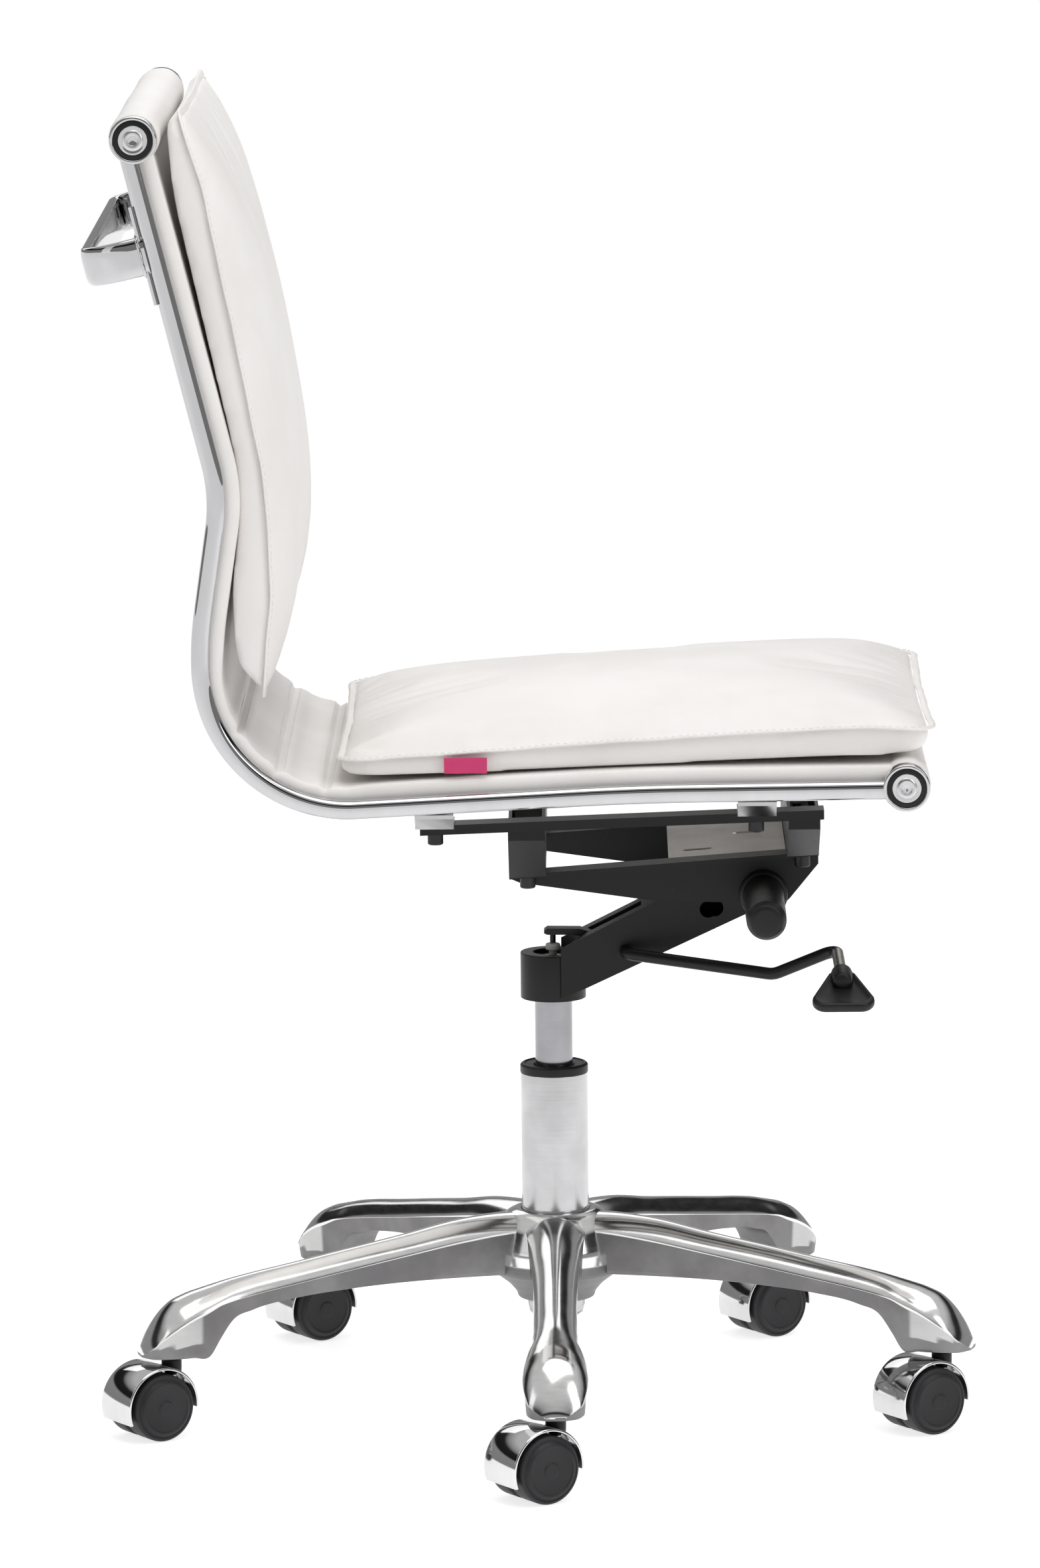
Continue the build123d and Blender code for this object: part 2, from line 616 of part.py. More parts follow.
def member_bolt_places():
    """Where the bolts hold the cross members to the bracket's flanges."""
    middles = [sum(ends) / 2 for ends in (REAR_MEMBER_X, FRONT_MEMBER_X)]
    return [(x, side * MEMBER_BOLT_Y) for x in middles for side in (-1, 1)]


def tab_bolt_places():
    """Where the bolts hold the mount rails to the tabs."""
    return [(x, side * TAB_BOLT_Y) for x in TAB_X for side in (-1, 1)]


def member_block(ends, inset):
    """A cross member's block, its floor and sides drawn in by an inset; it is open above then."""
    x_low = ends[0] + inset
    x_high = ends[1] - inset
    top = MEMBER_OPEN if inset else 0.0
    outline = [
        (x_low, bracket_top(x_low) + inset), (x_high, bracket_top(x_high) + inset),
        (x_high, rail_under(x_high) + top), (x_low, rail_under(x_low) + top),
    ]
    half = MEMBER_HALF_LENGTH - inset
    block = side_plate(outline, -half, half)
    foot = MEMBER_FOOT_Y - inset
    low = bracket_top(x_low) + inset
    tip = rail_under(x_low) - MEMBER_TIP + inset
    for side in (-1, 1):
        corners = [(foot, low), (2 * half, low), (2 * half, tip), (half, tip)]
        wedge = make_face(Polyline(*[Vector(x_low - 1, side * y, z) for y, z in corners], close=True))
        block -= extrude(wedge, amount=x_high - x_low + 2, dir=(1, 0, 0))
    return block


def cross_member(ends):
    """Pressed channel, open above, that rises at both ends to carry the mount rails."""
    member = member_block(ends, 0.0) - member_block(ends, MEMBER_WALL)
    for x, y in member_bolt_places():
        member -= upright(BOLT_R, PIVOT_Z, rail_top(x), x=x, y=y)
    return member


def mount_rail(side):
    """Flat bar along the chair, on the ends of both cross members."""
    edges = sorted([side * y for y in MOUNT_RAIL_Y])
    rail = sloped_plate(*MOUNT_RAIL_X, rail_top, MOUNT_RAIL_HEIGHT, *edges)
    for x, y in tab_bolt_places():
        rail -= upright(BOLT_R, PIVOT_Z, rail_top(x) + 1, x=x, y=y)
    return rail


def frame_tab(x, side):
    """Strip bent from the mount rail's top up to the side rail."""
    flat = rail_top(x + TAB_HALF_WIDTH) + 0.1
    rise = rail_centre_height(x) - RAIL_SIZE / 2 + 0.15
    t = TAB_THICKNESS
    corners = [
        (TAB_END_Y, flat), (TAB_BEND_Y, flat), (RAIL_Y - 2, rise - t), (RAIL_Y + 4, rise - t),
        (RAIL_Y + 4, rise), (RAIL_Y - 4, rise), (TAB_BEND_Y - 1.5, flat + t), (TAB_END_Y, flat + t),
    ]
    face = make_face(Polyline(*[Vector(x - TAB_HALF_WIDTH, side * y, z) for y, z in corners], close=True))
    tab = extrude(face, amount=2 * TAB_HALF_WIDTH, dir=(1, 0, 0))
    return tab - upright(BOLT_R, PIVOT_Z, 2 * PIVOT_Z, x=x, y=side * TAB_BOLT_Y)


def cap_bolt(x, y, seat_z, shank_top):
    """A socket-head bolt pointing up, its head below the seat height."""
    head = upright(BOLT_HEAD_R, seat_z - BOLT_HEAD, seat_z, x=x, y=y)
    head = chamfer(head.edges().filter_by(GeomType.CIRCLE).group_by(Axis.Z)[0], 0.8)
    socket = extrude(RegularPolygon(BOLT_SOCKET_R, 6), amount=BOLT_SOCKET_DEPTH)
    return head - Pos(x, y, seat_z - BOLT_HEAD) * socket + upright(BOLT_R, seat_z, shank_top, x=x, y=y)


def save_seat_frame():
    """Bracket, cross members, mount rails, tabs and bolts."""
    save("seat_bracket", seat_bracket())
    save("bracket_plate", bracket_plate())
    save("rear_member", cross_member(REAR_MEMBER_X))
    save("front_member", cross_member(FRONT_MEMBER_X))
    save("right_mount_rail", mount_rail(-1))
    save("left_mount_rail", mount_rail(1))
    save("frame_tabs", group([frame_tab(x, side) for x in TAB_X for side in (-1, 1)]))
    member_bolts = []
    for x, y in member_bolt_places():
        member_bolts.append(cap_bolt(x, y, bracket_top(x) - BRACKET_WALL - 0.4, bracket_top(x) + 6))
    save("member_bolts", group(member_bolts))
    frame_bolts = []
    for x, y in tab_bolt_places():
        frame_bolts.append(cap_bolt(x, y, rail_under(x) - 0.3, rail_top(x) + TAB_THICKNESS))
    save("frame_bolts", group(frame_bolts))


# ---------------- side rails, bars and covering ----------------
def cross_span(x, z, radius, side, y_near, y_far):
    """A round bar along Y between two distances from the middle, on one side of the chair."""
    return cross_rod(x, z, radius, *sorted([side * y_near, side * y_far]))


def side_rail(side):
    """Rounded bright bar bent to the chair's profile, ending against the bar caps."""
    route = FilletPolyline(*[side_point(x, z) for x, z in RAIL_POINTS], radius=RAIL_RADII)
    plane = Plane(origin=route.position_at(0), x_dir=(0, 1, 0), z_dir=route.tangent_at(0))
    section = plane * RectangleRounded(RAIL_SIZE, RAIL_SIZE, RAIL_CORNER)
    rail = sweep(section, path=route)
    for x, z in (TOP_ROLL, FRONT_ROLL):
        rail -= cross_rod(x, z, CAP_R, -RAIL_Y, RAIL_Y)
    return Pos(0, side * RAIL_Y, 0) * rail


def bar_cap(x, z, side):
    """Turned cap on the end of a cross bar, with a recess for its screw."""
    cap = cross_span(x, z, CAP_R, side, CAP_INNER_Y, CAP_FACE_Y)
    rim = cap.edges().filter_by(GeomType.CIRCLE).sort_by(Axis.Y)
    cap = fillet(rim[-1] if side > 0 else rim[0], 2.0)
    cap -= cross_span(x, z, CAP_RECESS_R, side, CAP_FACE_Y - CAP_RECESS, CAP_FACE_Y + 1)
    return cap - cross_span(x, z, CAP_BORE_R, side, CAP_INNER_Y - 1, CAP_FACE_Y + 1)


def cap_screw(x, z, side):
    """Socket-head screw in the middle of a cap."""
    seat = CAP_FACE_Y - CAP_RECESS
    head = cross_span(x, z, 8.0, side, seat, CAP_FACE_Y - 0.6)
    shank = cross_span(x, z, CAP_BORE_R, side, CAP_INNER_Y - 12, seat)
    drive = Rot(90 * -side, 0, 0) * extrude(RegularPolygon(3.5, 6), amount=5)
    return head + shank - Pos(x, side * (CAP_FACE_Y - 2.2), z) * drive


def cross_bar(x, z):
    """Steel tube inside a roll, with threaded plugs at its ends."""
    end = CAP_INNER_Y
    plug = end - BAR_PLUG
    bar = cross_rod(x, z, BAR_R, -end, end) - cross_rod(x, z, BAR_R - BAR_TUBE_WALL, -plug, plug)
    for side in (-1, 1):
        bar -= cross_span(x, z, CAP_BORE_R, side, plug - 10, end + 2)
    return bar


def sling():
    """Covered panel along the rails, wrapped round both cross bars."""
    near, near_ends = beside_rail(SLING_NEAR)
    far, far_ends = beside_rail(SLING_FAR)
    edges = [Line(start, end) for start, end in zip(near_ends, far_ends)]
    face = make_face(near.edges() + far.edges() + edges)
    half = SLING_HALF_WIDTH
    panel = Pos(0, -half, 0) * extrude(face, amount=2 * half, dir=(0, 1, 0))
    for x, z in (TOP_ROLL, FRONT_ROLL):
        panel += cross_rod(x, z, ROLL_R, -half, half)
    for x, z in (TOP_ROLL, FRONT_ROLL):
        panel -= cross_rod(x, z, BAR_R, -half - 1, half + 1)
    return panel


def pad(outline, radii):
    """A plain closed pad from its side-view outline."""
    wire = FilletPolyline(*[side_point(x, z) for x, z in outline], radius=radii, close=True)
    return extrude(make_face(wire), amount=PAD_HALF_WIDTH, dir=(0, 1, 0), both=True)


def save_upholstery():
    """Rails, bars, caps, screws, sling, pads and the tag."""
    save("right_side_rail", side_rail(-1))
    save("left_side_rail", side_rail(1))
    save("top_bar", cross_bar(*TOP_ROLL))
    save("front_bar", cross_bar(*FRONT_ROLL))
    ends = [(roll, side) for roll in (TOP_ROLL, FRONT_ROLL) for side in (-1, 1)]
    save("bar_caps", group([bar_cap(*roll, side) for roll, side in ends]))
    save("cap_screws", group([cap_screw(*roll, side) for roll, side in ends]))
    save("sling", sling())
    save("back_pad", pad(BACK_PAD_REAR + BACK_PAD_FRONT, BACK_PAD_RADII))
    save("seat_pad", pad(SEAT_PAD_UNDER + SEAT_PAD_TOP, SEAT_PAD_RADII))
    low = (TAG_X[0], -PAD_HALF_WIDTH - 2.2, TAG_Z[0])
    high = (TAG_X[1], -PAD_HALF_WIDTH - 1.0, TAG_Z[1])
    save("seat_tag", solid_box(low, high))


def back_handle():
    """Bow handle behind the back: flat band with rounded corners and welded end plates."""
    y_arm = RAIL_Y + 2.0
    start = RAIL_SIZE / 2
    corners = [(-start, -y_arm), (-HANDLE_DEPTH, -y_arm), (-HANDLE_DEPTH, y_arm), (-start, y_arm)]
    route = FilletPolyline(*[Vector(x, y, 0) for x, y in corners], radius=HANDLE_BEND_R)
    plane = Plane(origin=(-start, -y_arm, 0), x_dir=(0, 1, 0), z_dir=(-1, 0, 0))
    band = sweep(plane * RectangleRounded(HANDLE_BAND, HANDLE_HEIGHT, 3.5), path=route)
    thickness, half_width, half_height = HANDLE_PLATE
    for side in (-1, 1):
        low = (-start - thickness, side * RAIL_Y - half_width, -half_height)
        high = (-start, side * RAIL_Y + half_width, half_height)
        band += solid_box(low, high)
    x, lean = rail_frame(HANDLE_Z)
    return Pos(x, 0, HANDLE_Z) * (Rot(0, -lean, 0) * band)


os.makedirs("parts", exist_ok=True)
save("base_star", base_star())
save("caster_sockets", caster_sockets())
save_casters()
save_gas_lift()
save_mechanism()
save_lever()
save_knob()
save_seat_frame()
save_upholstery()
save("back_handle", back_handle())
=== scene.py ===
import json
from math import atan2, cos, pi, radians, sin

import bmesh
import bpy
import numpy as np
from mathutils import Matrix, Vector

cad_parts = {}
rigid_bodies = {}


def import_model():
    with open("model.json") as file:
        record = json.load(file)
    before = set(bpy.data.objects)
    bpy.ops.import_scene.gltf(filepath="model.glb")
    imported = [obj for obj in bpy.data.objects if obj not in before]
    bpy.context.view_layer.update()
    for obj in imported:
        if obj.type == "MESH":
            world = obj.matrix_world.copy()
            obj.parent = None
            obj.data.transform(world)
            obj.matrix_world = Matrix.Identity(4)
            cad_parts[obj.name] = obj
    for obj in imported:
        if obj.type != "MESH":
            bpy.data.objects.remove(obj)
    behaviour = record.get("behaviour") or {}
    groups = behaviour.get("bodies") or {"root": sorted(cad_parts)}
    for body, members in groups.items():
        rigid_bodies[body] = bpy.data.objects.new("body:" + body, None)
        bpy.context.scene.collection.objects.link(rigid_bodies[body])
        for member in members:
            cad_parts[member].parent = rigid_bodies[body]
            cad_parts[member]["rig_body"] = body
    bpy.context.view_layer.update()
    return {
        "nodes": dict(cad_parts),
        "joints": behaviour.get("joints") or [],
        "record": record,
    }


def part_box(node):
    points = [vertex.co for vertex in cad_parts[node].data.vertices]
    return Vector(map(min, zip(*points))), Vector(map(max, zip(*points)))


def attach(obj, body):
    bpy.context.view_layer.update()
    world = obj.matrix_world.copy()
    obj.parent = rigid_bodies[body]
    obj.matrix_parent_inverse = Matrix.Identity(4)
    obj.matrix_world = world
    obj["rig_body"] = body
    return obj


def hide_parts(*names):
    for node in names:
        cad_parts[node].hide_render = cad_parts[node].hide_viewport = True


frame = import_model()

# Swivel office chair: the looks around the fixed frame. Metres. +X front, +Y the sitter's left, +Z up.

# ---- places taken from the frame ----
rail_low, rail_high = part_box("right_side_rail")
left_low, left_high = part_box("left_side_rail")
caps_low, caps_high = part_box("bar_caps")
SLING_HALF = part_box("sling")[1][1]
PAD_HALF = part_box("seat_pad")[1][1]
tube_low, tube_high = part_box("column_tube")
collar_low, collar_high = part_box("column_collar")
cylinder_low, cylinder_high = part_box("gas_cylinder")
sleeve_low, sleeve_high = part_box("hub_sleeve")
knob_low, knob_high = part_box("tension_knob")
button_low, button_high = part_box("valve_button")
joints = {joint["name"]: joint for joint in frame["joints"]}
slot_of = {entry["node"]: entry["material_slot"] for entry in frame["record"]["subparts"]}

# ---- driving sizes ----
RAIL_SIZE = rail_high[1] - rail_low[1]
RAIL_Y = (left_low[1] + left_high[1]) / 2
RAIL_POINTS = [(-0.298, 0.972), (-0.2342, 0.7144), (-0.2495, 0.6127), (-0.2495, 0.4811),
               (0.060, 0.496), (0.2562, 0.4972)]
RAIL_BENDS = [0.121, 0.250, 0.105, 2.0]
CAP_R = 0.017
TOP_ROLL = (caps_low[0] + CAP_R, caps_high[2] - CAP_R)
FRONT_ROLL = (caps_high[0] - CAP_R, caps_low[2] + CAP_R)
CAP_FACE_Y = caps_high[1]
ROLL_R = 0.0183
LEG_ANGLES = [-90, -18, 54, 126, 198]
STEM_CIRCLE_R = 0.2995
CASTER_HEADING = 214.0
TRAIL = 0.019
WHEEL_R = 0.025
HOOD_R = 0.031
UP = np.array([0.0, 0.0, 1.0])
LEFT = np.array([0.0, 1.0, 0.0])


# ======================= shapes =======================
def unit(vectors):
    """Vectors scaled to length 1 along their last axis."""
    return vectors / np.linalg.norm(vectors, axis=-1, keepdims=True)


def circle(count):
    """Points of a unit circle, from angle 0."""
    angle = np.linspace(0, 2 * pi, count, endpoint=False)
    return np.stack([np.cos(angle), np.sin(angle)], -1)


def smooth_shaded(mesh, angle):
    """Smooth shading, sharp at edges steeper than an angle in degrees."""
    mesh.polygons.foreach_set("use_smooth", [True] * len(mesh.polygons))
    mesh.set_sharp_from_angle(angle=radians(angle))


def linked(name, data):
    """A new object in the scene that holds the data."""
    holder = bpy.data.objects.new(name, data)
    bpy.context.scene.collection.objects.link(holder)
    return holder


def add_piece(name, points, faces, material, smooth_angle=35.0, weld=1e-6, attributes=None):
    """A mesh object from points and faces, welded, turned outwards and smooth-shaded below an angle."""
    mesh = bpy.data.meshes.new(name)
    mesh.from_pydata(np.asarray(points, float).reshape(-1, 3).tolist(), [], faces)
    for key, values in (attributes or {}).items():
        layer = mesh.attributes.new(key, "FLOAT", "POINT")
        layer.data.foreach_set("value", np.asarray(values, np.float32).ravel())
    work = bmesh.new()
    work.from_mesh(mesh)
    bmesh.ops.remove_doubles(work, verts=work.verts, dist=weld)
    bmesh.ops.recalc_face_normals(work, faces=work.faces)
    work.to_mesh(mesh)
    work.free()
    smooth_shaded(mesh, smooth_angle)
    mesh.materials.append(material)
    return linked(name, mesh)


def grid_faces(rows, columns, wrap_rows=False, wrap_columns=False, start=0):
    """Quads of a grid of rows x columns points, as index lists."""
    last_row = rows if wrap_rows else rows - 1
    last_column = columns if wrap_columns else columns - 1
    i, j = np.meshgrid(np.arange(last_row), np.arange(last_column), indexing="ij")
    a = i * columns + j
    b = i * columns + (j + 1) % columns
    c = ((i + 1) % rows) * columns + (j + 1) % columns
    d = ((i + 1) % rows) * columns + j
    return (np.stack([a, b, c, d], -1).reshape(-1, 4) + start).tolist()


def capped_faces(rows, columns, start=0):
    """Faces of a closed tube: wrapped columns, with a flat face over each end row."""
    faces = grid_faces(rows, columns, wrap_columns=True, start=start)
    first = [start + k for k in range(columns)]
    last = [start + (rows - 1) * columns + k for k in range(columns)]
    return faces + [first[::-1], last]


def join_parts(parts):
    """Several (points, faces) pairs as one pair."""
    points, faces, count = [], [], 0
    for part_points, part_faces in parts:
        flat = np.asarray(part_points, float).reshape(-1, 3)
        points.append(flat)
        faces.extend([[index + count for index in face] for face in part_faces])
        count += len(flat)
    return np.concatenate(points), faces


def route(points, bends, step=0.003):
    """A line of straight runs joined by tangent arcs.

    Each arc starts R tan(turn / 2) before its corner and follows P + R (sin a, 1 - cos a) in its plane.
    Returns the points and the unit directions along it.
    """
    corners = [np.array(p, float) for p in points]
    samples, headings = [corners[0]], []
    start = corners[0]
    for index in range(1, len(corners) - 1):
        into = corners[index] - corners[index - 1]
        away = corners[index + 1] - corners[index]
        into, away = unit(into), unit(away)
        turn = np.arccos(np.clip(into @ away, -1, 1))
        radius = bends[index - 1]
        back = radius * np.tan(turn / 2)
        entry = corners[index] - into * back
        inward = unit(away - into * (into @ away))
        run = np.linalg.norm(entry - start)
        count = max(2, int(run / step))
        share = np.linspace(0, 1, count)[1:, None]
        samples.extend(start + (entry - start) * share)
        headings.extend([into] * (count if index == 1 else count - 1))
        angles = np.linspace(0, turn, max(4, int(radius * turn / step)))[1:, None]
        samples.extend(entry + radius * (np.sin(angles) * into + (1 - np.cos(angles)) * inward))
        headings.extend(np.cos(angles) * into + np.sin(angles) * inward)
        start = samples[-1]
    run = np.linalg.norm(corners[-1] - start)
    share = np.linspace(0, 1, max(2, int(run / step)))[1:, None]
    last = (corners[-1] - start) / run
    samples.extend(start + (corners[-1] - start) * share)
    headings.extend([last] * len(share))
    return np.array(samples), np.array(headings)


def side_route(points, bends, step=0.003):
    """A route drawn in the side view, at y = 0."""
    return route([(x, 0.0, z) for x, z in points], bends, step)


def along(samples):
    """Distance along a line at each of its points."""
    return np.concatenate([[0], np.cumsum(np.linalg.norm(np.diff(samples, axis=0), axis=1))])


def rounded_outline(width, height, radius, corner=6):
    """A rectangle with round corners, as points about its centre."""
    outline = []
    for k, (cx, cy) in enumerate([(1, 1), (-1, 1), (-1, -1), (1, -1)]):
        angles = np.linspace(k * pi / 2, (k + 1) * pi / 2, corner)
        centre = np.array([cx * (width / 2 - radius), cy * (height / 2 - radius)])
        outline.append(centre + radius * np.stack([np.cos(angles), np.sin(angles)], -1))
    return np.concatenate(outline)


def crowned_outline(width, height, power, count=32):
    """A square with round corners and slightly crowned sides: |x|^power + |y|^power = 1, scaled."""
    ring = circle(count)
    return np.sign(ring) * np.abs(ring) ** (2 / power) * [width / 2, height / 2]


def swept(samples, headings, outline, side):
    """An outline carried along a line; side is the direction of the outline's first axis."""
    side = np.broadcast_to(np.asarray(side, float), headings.shape)
    side = unit(side - headings * np.sum(side * headings, -1, keepdims=True))
    up = np.cross(headings, side)
    grid = samples[:, None] + side[:, None] * outline[None, :, :1] + up[:, None] * outline[None, :, 1:]
    return grid, capped_faces(len(samples), len(outline))


def turned(profile, centre, axis, segments=64):
    """A profile of (radius, distance along the axis) turned about an axis through centre."""
    profile = np.asarray(profile, float)
    axis = unit(np.asarray(axis, float))
    helper = UP if abs(axis[2]) < 0.9 else np.array([1.0, 0.0, 0.0])
    first = unit(np.cross(helper, axis))
    second = np.cross(axis, first)
    ring = circle(segments)[:, :1] * first + circle(segments)[:, 1:] * second
    points = np.asarray(centre, float) + profile[:, 1, None, None] * axis + profile[:, 0, None, None] * ring
    return points, grid_faces(len(profile), segments, wrap_columns=True)


def rounded_profile(corners, radius, steps=5):
    """A profile whose inner corners are rounded off by arcs of one radius."""
    corners = [np.array(c, float) for c in corners]
    points = [corners[0]]
    for before, corner, after in zip(corners, corners[1:], corners[2:]):
        into, away = before - corner, after - corner
        reach = min(radius, np.linalg.norm(into) * 0.45, np.linalg.norm(away) * 0.45)
        a, b = corner + unit(into) * reach, corner + unit(away) * reach
        share = np.linspace(0, 1, steps)[:, None]
        points.extend((1 - share) ** 2 * a + 2 * share * (1 - share) * corner + share ** 2 * b)
    points.append(corners[-1])
    return np.array(points)


def refined(node, material, bevel):
    """A copy of a CAD node with its triangles rejoined into flat faces and its edges rounded."""
    crease = 30.0
    mesh = frame["nodes"][node].data.copy()
    mesh.materials.clear()
    mesh.materials.append(material)
    work = bmesh.new()
    work.from_mesh(mesh)
    bmesh.ops.remove_doubles(work, verts=work.verts, dist=2e-5)
    bmesh.ops.dissolve_limit(work, angle_limit=radians(1.5), verts=work.verts, edges=work.edges)
    work.to_mesh(mesh)
    work.free()
    smooth_shaded(mesh, crease)
    piece = linked(node + "_finished", mesh)
    edge = piece.modifiers.new("edge", "BEVEL")
    edge.width, edge.segments = bevel, 2
    edge.limit_method, edge.angle_limit = "ANGLE", radians(crease)
    edge.use_clamp_overlap = edge.harden_normals = True
    stand_for(piece, node)


def place(piece, body, slot, *nodes):
    """Puts a piece on its body and hides the CAD nodes it stands for; slot is not used."""
    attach(piece, body)
    if nodes:
        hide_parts(*nodes)


def stand_for(piece, node):
    """Puts a piece on a CAD node's body and hides that node."""
    place(piece, frame["nodes"][node]["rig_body"], slot_of[node], node)
    return piece


def node_piece(name, shape, material, node, smooth_angle=40.0):
    """A piece of one shape, (points, faces), that stands for one CAD node."""
    return stand_for(add_piece(name, *shape, material, smooth_angle), node)


# ======================= shader maths =======================
class Value:
    """A shader socket. Arithmetic on it adds Math nodes."""

    def __init__(self, finish, socket):
        self.finish = finish
        self.socket = socket

    def math(self, operation, *others):
        """A Math node of that operation on this value and the others."""
        sockets = dict(enumerate((self,) + others))
        return self.finish.node("Math", {"operation": operation}, sockets)

    def _swapped(self, operation, other):
        return self.finish.node("Math", {"operation": operation}, {0: other, 1: self})

    def __add__(self, other): return self.math("ADD", other)
    def __radd__(self, other): return self.math("ADD", other)
    def __sub__(self, other): return self.math("SUBTRACT", other)
    def __rsub__(self, other): return self._swapped("SUBTRACT", other)
    def __mul__(self, other): return self.math("MULTIPLY", other)
    def __rmul__(self, other): return self.math("MULTIPLY", other)
    def __truediv__(self, other): return self.math("DIVIDE", other)
    def __rtruediv__(self, other): return self._swapped("DIVIDE", other)
    def __pow__(self, other): return self.math("POWER", other)
    def __neg__(self): return self.math("MULTIPLY", -1.0)

    def between(self, low, high):
        """0 below low, 1 above high, smooth between."""
        sockets = {0: self, 1: low, 2: high, 3: 0.0, 4: 1.0}
        return self.finish.node("MapRange", {"interpolation_type": "SMOOTHSTEP"}, sockets)


class Shading:
    """A node tree that is built node by node."""

    def __init__(self, owner):
        owner.use_nodes = True
        self.tree = owner.node_tree
        self.tree.nodes.clear()

    def node(self, kind, settings, sockets, output=0):
        """A node of that kind: its settings first, then the values or links of its sockets."""
        node = self.tree.nodes.new("ShaderNode" + kind)
        for key, value in settings.items():
            if key == "stops":
                self._set_stops(node.color_ramp, value)
            else:
                setattr(node, key, value)
        for key, value in sockets.items():
            if isinstance(value, Value):
                self.tree.links.new(value.socket, node.inputs[key])
            else:
                node.inputs[key].default_value = value
        return None if output is None else Value(self, node.outputs[output])

    def _set_stops(self, ramp, stops):
        while len(ramp.elements) < len(stops):
            ramp.elements.new(0.5)
        for element, (position, tint) in zip(ramp.elements, stops):
            element.position = position
            element.color = (*tint, 1.0)


class Finish(Shading):
    """A procedural material with one Principled shader."""

    def __init__(self, name, **sockets):
        self.material = bpy.data.materials.new(name)
        super().__init__(self.material)
        self.shader = self.node("BsdfPrincipled", {}, sockets)
        self.node("OutputMaterial", {}, {"Surface": self.shader}, output=None)
        self.place = self.node("TexCoord", {}, {}, output="Object")

    def set(self, **sockets):
        """Values or links on the Principled shader; underscores stand for spaces."""
        shader = self.shader.socket.node
        for key, value in sockets.items():
            socket = shader.inputs[key.replace("_", " ")]
            if isinstance(value, Value):
                self.tree.links.new(value.socket, socket)
            else:
                socket.default_value = value
        return self

    def noise(self, scale, detail=3.0, roughness=0.55, stretch=None):
        """Noise on Object coordinates, stretched along an axis when asked."""
        vector = self.place
        if stretch:
            vector = self.node("Mapping", {}, {"Vector": vector, "Scale": stretch})
        sockets = {"Vector": vector, "Scale": scale, "Detail": detail, "Roughness": roughness}
        return self.node("TexNoise", {}, sockets)

    def cells(self, scale, feature="F1", randomness=1.0):
        """Distance in a Voronoi pattern on Object coordinates."""
        sockets = {"Vector": self.place, "Scale": scale, "Randomness": randomness}
        return self.node("TexVoronoi", {"feature": feature}, sockets)

    def attribute(self, name):
        """A number stored on the mesh's points."""
        return self.node("Attribute", {"attribute_name": name}, {}, output="Fac")

    def mix(self, share, first, second):
        """First colour at share 0, second at 1."""
        return self.node("Mix", {"data_type": "RGBA"}, {0: share, 6: first, 7: second}, output=2)

    def bump(self, height, distance, strength=1.0, normal=None):
        """A Bump node of that height in metres."""
        sockets = {"Height": height, "Distance": distance, "Strength": strength}
        if normal:
            sockets["Normal"] = normal
        return self.node("Bump", {}, sockets)


def colour(red, green, blue):
    """An opaque colour."""
    return (red, green, blue, 1.0)


# ======================= finishes =======================
def leatherette():
    """Warm white coated fabric: pebble grain, faint mottling, and painted shade that darkens the grain's
    hollows.
    """
    finish = Finish("white_leatherette", **{"Roughness": 0.42, "Specular IOR Level": 0.45})
    grain = finish.cells(1150.0)
    pores = finish.noise(2600.0, 2.0)
    broad = finish.noise(9.0, 3.0)
    tint = finish.mix(broad.between(0.35, 0.65), colour(0.845, 0.820, 0.795), colour(0.89, 0.870, 0.850))
    # painted shade: the grain's low points are tinted darker brown-grey, as if shade fell in them
    grain_hollow_shade = (1.0 - grain.between(0.0, 0.55)) * 0.06
    tint = finish.mix(grain_hollow_shade, tint, colour(0.60, 0.56, 0.52))
    height = grain * 0.8 + pores * 0.2
    soft = finish.bump(finish.noise(60.0, 2.0), 0.0006, 0.25)
    finish.set(Base_Color=tint, Roughness=0.40 + broad * 0.12 - grain * 0.06)
    return finish.set(Normal=finish.bump(height, 0.00014, 0.55, soft)).material


def mirror_chrome(name, base, rough, smudge):
    """Plated metal: bright, with faint wiping marks that change its gloss."""
    finish = Finish(name, Metallic=1.0)
    marks = finish.noise(38.0, 5.0, 0.65, (1.0, 1.0, 0.35))
    fine = finish.noise(900.0, 2.0)
    tint = finish.mix(marks.between(0.3, 0.75), colour(*base), colour(*[c * 0.93 for c in base]))
    finish.set(Base_Color=tint, Roughness=rough + marks.between(0.35, 0.8) * smudge)
    return finish.set(Normal=finish.bump(fine, 0.00001, 0.12)).material


def polished_casting():
    """Aluminium star: buffed tops, darker satin cast sides below the edge line."""
    finish = Finish("polished_casting", Metallic=1.0)
    top = finish.attribute("polish").between(0.42, 0.58)
    buff = finish.noise(240.0, 4.0, 0.6, (0.25, 0.25, 1.0))
    cast = finish.noise(520.0, 3.0)
    mottle = finish.noise(26.0, 3.0)
    side = finish.mix(mottle.between(0.3, 0.7), colour(0.20, 0.195, 0.20), colour(0.27, 0.265, 0.265))
    bright = finish.mix(buff.between(0.3, 0.7), colour(0.80, 0.80, 0.795), colour(0.86, 0.86, 0.855))
    finish.set(Base_Color=finish.mix(top, side, bright))
    finish.set(Roughness=(1.0 - top) * (0.40 + cast * 0.12) + top * (0.10 + buff * 0.10))
    grain = cast * (1.0 - top)
    return finish.set(Normal=finish.bump(grain, 0.00012, 0.5)).material


def ground_steel(name, base, rough, stretch, scale=420.0):
    """Steel with fine lines left by grinding or drawing."""
    finish = Finish(name, Metallic=1.0)
    lines = finish.noise(scale, 4.0, 0.6, stretch)
    blotch = finish.noise(30.0, 3.0)
    tint = finish.mix(blotch.between(0.3, 0.7), colour(*base), colour(*[c * 0.86 for c in base]))
    finish.set(Base_Color=tint, Roughness=rough + lines * 0.14)
    return finish.set(Normal=finish.bump(lines, 0.00002, 0.35)).material


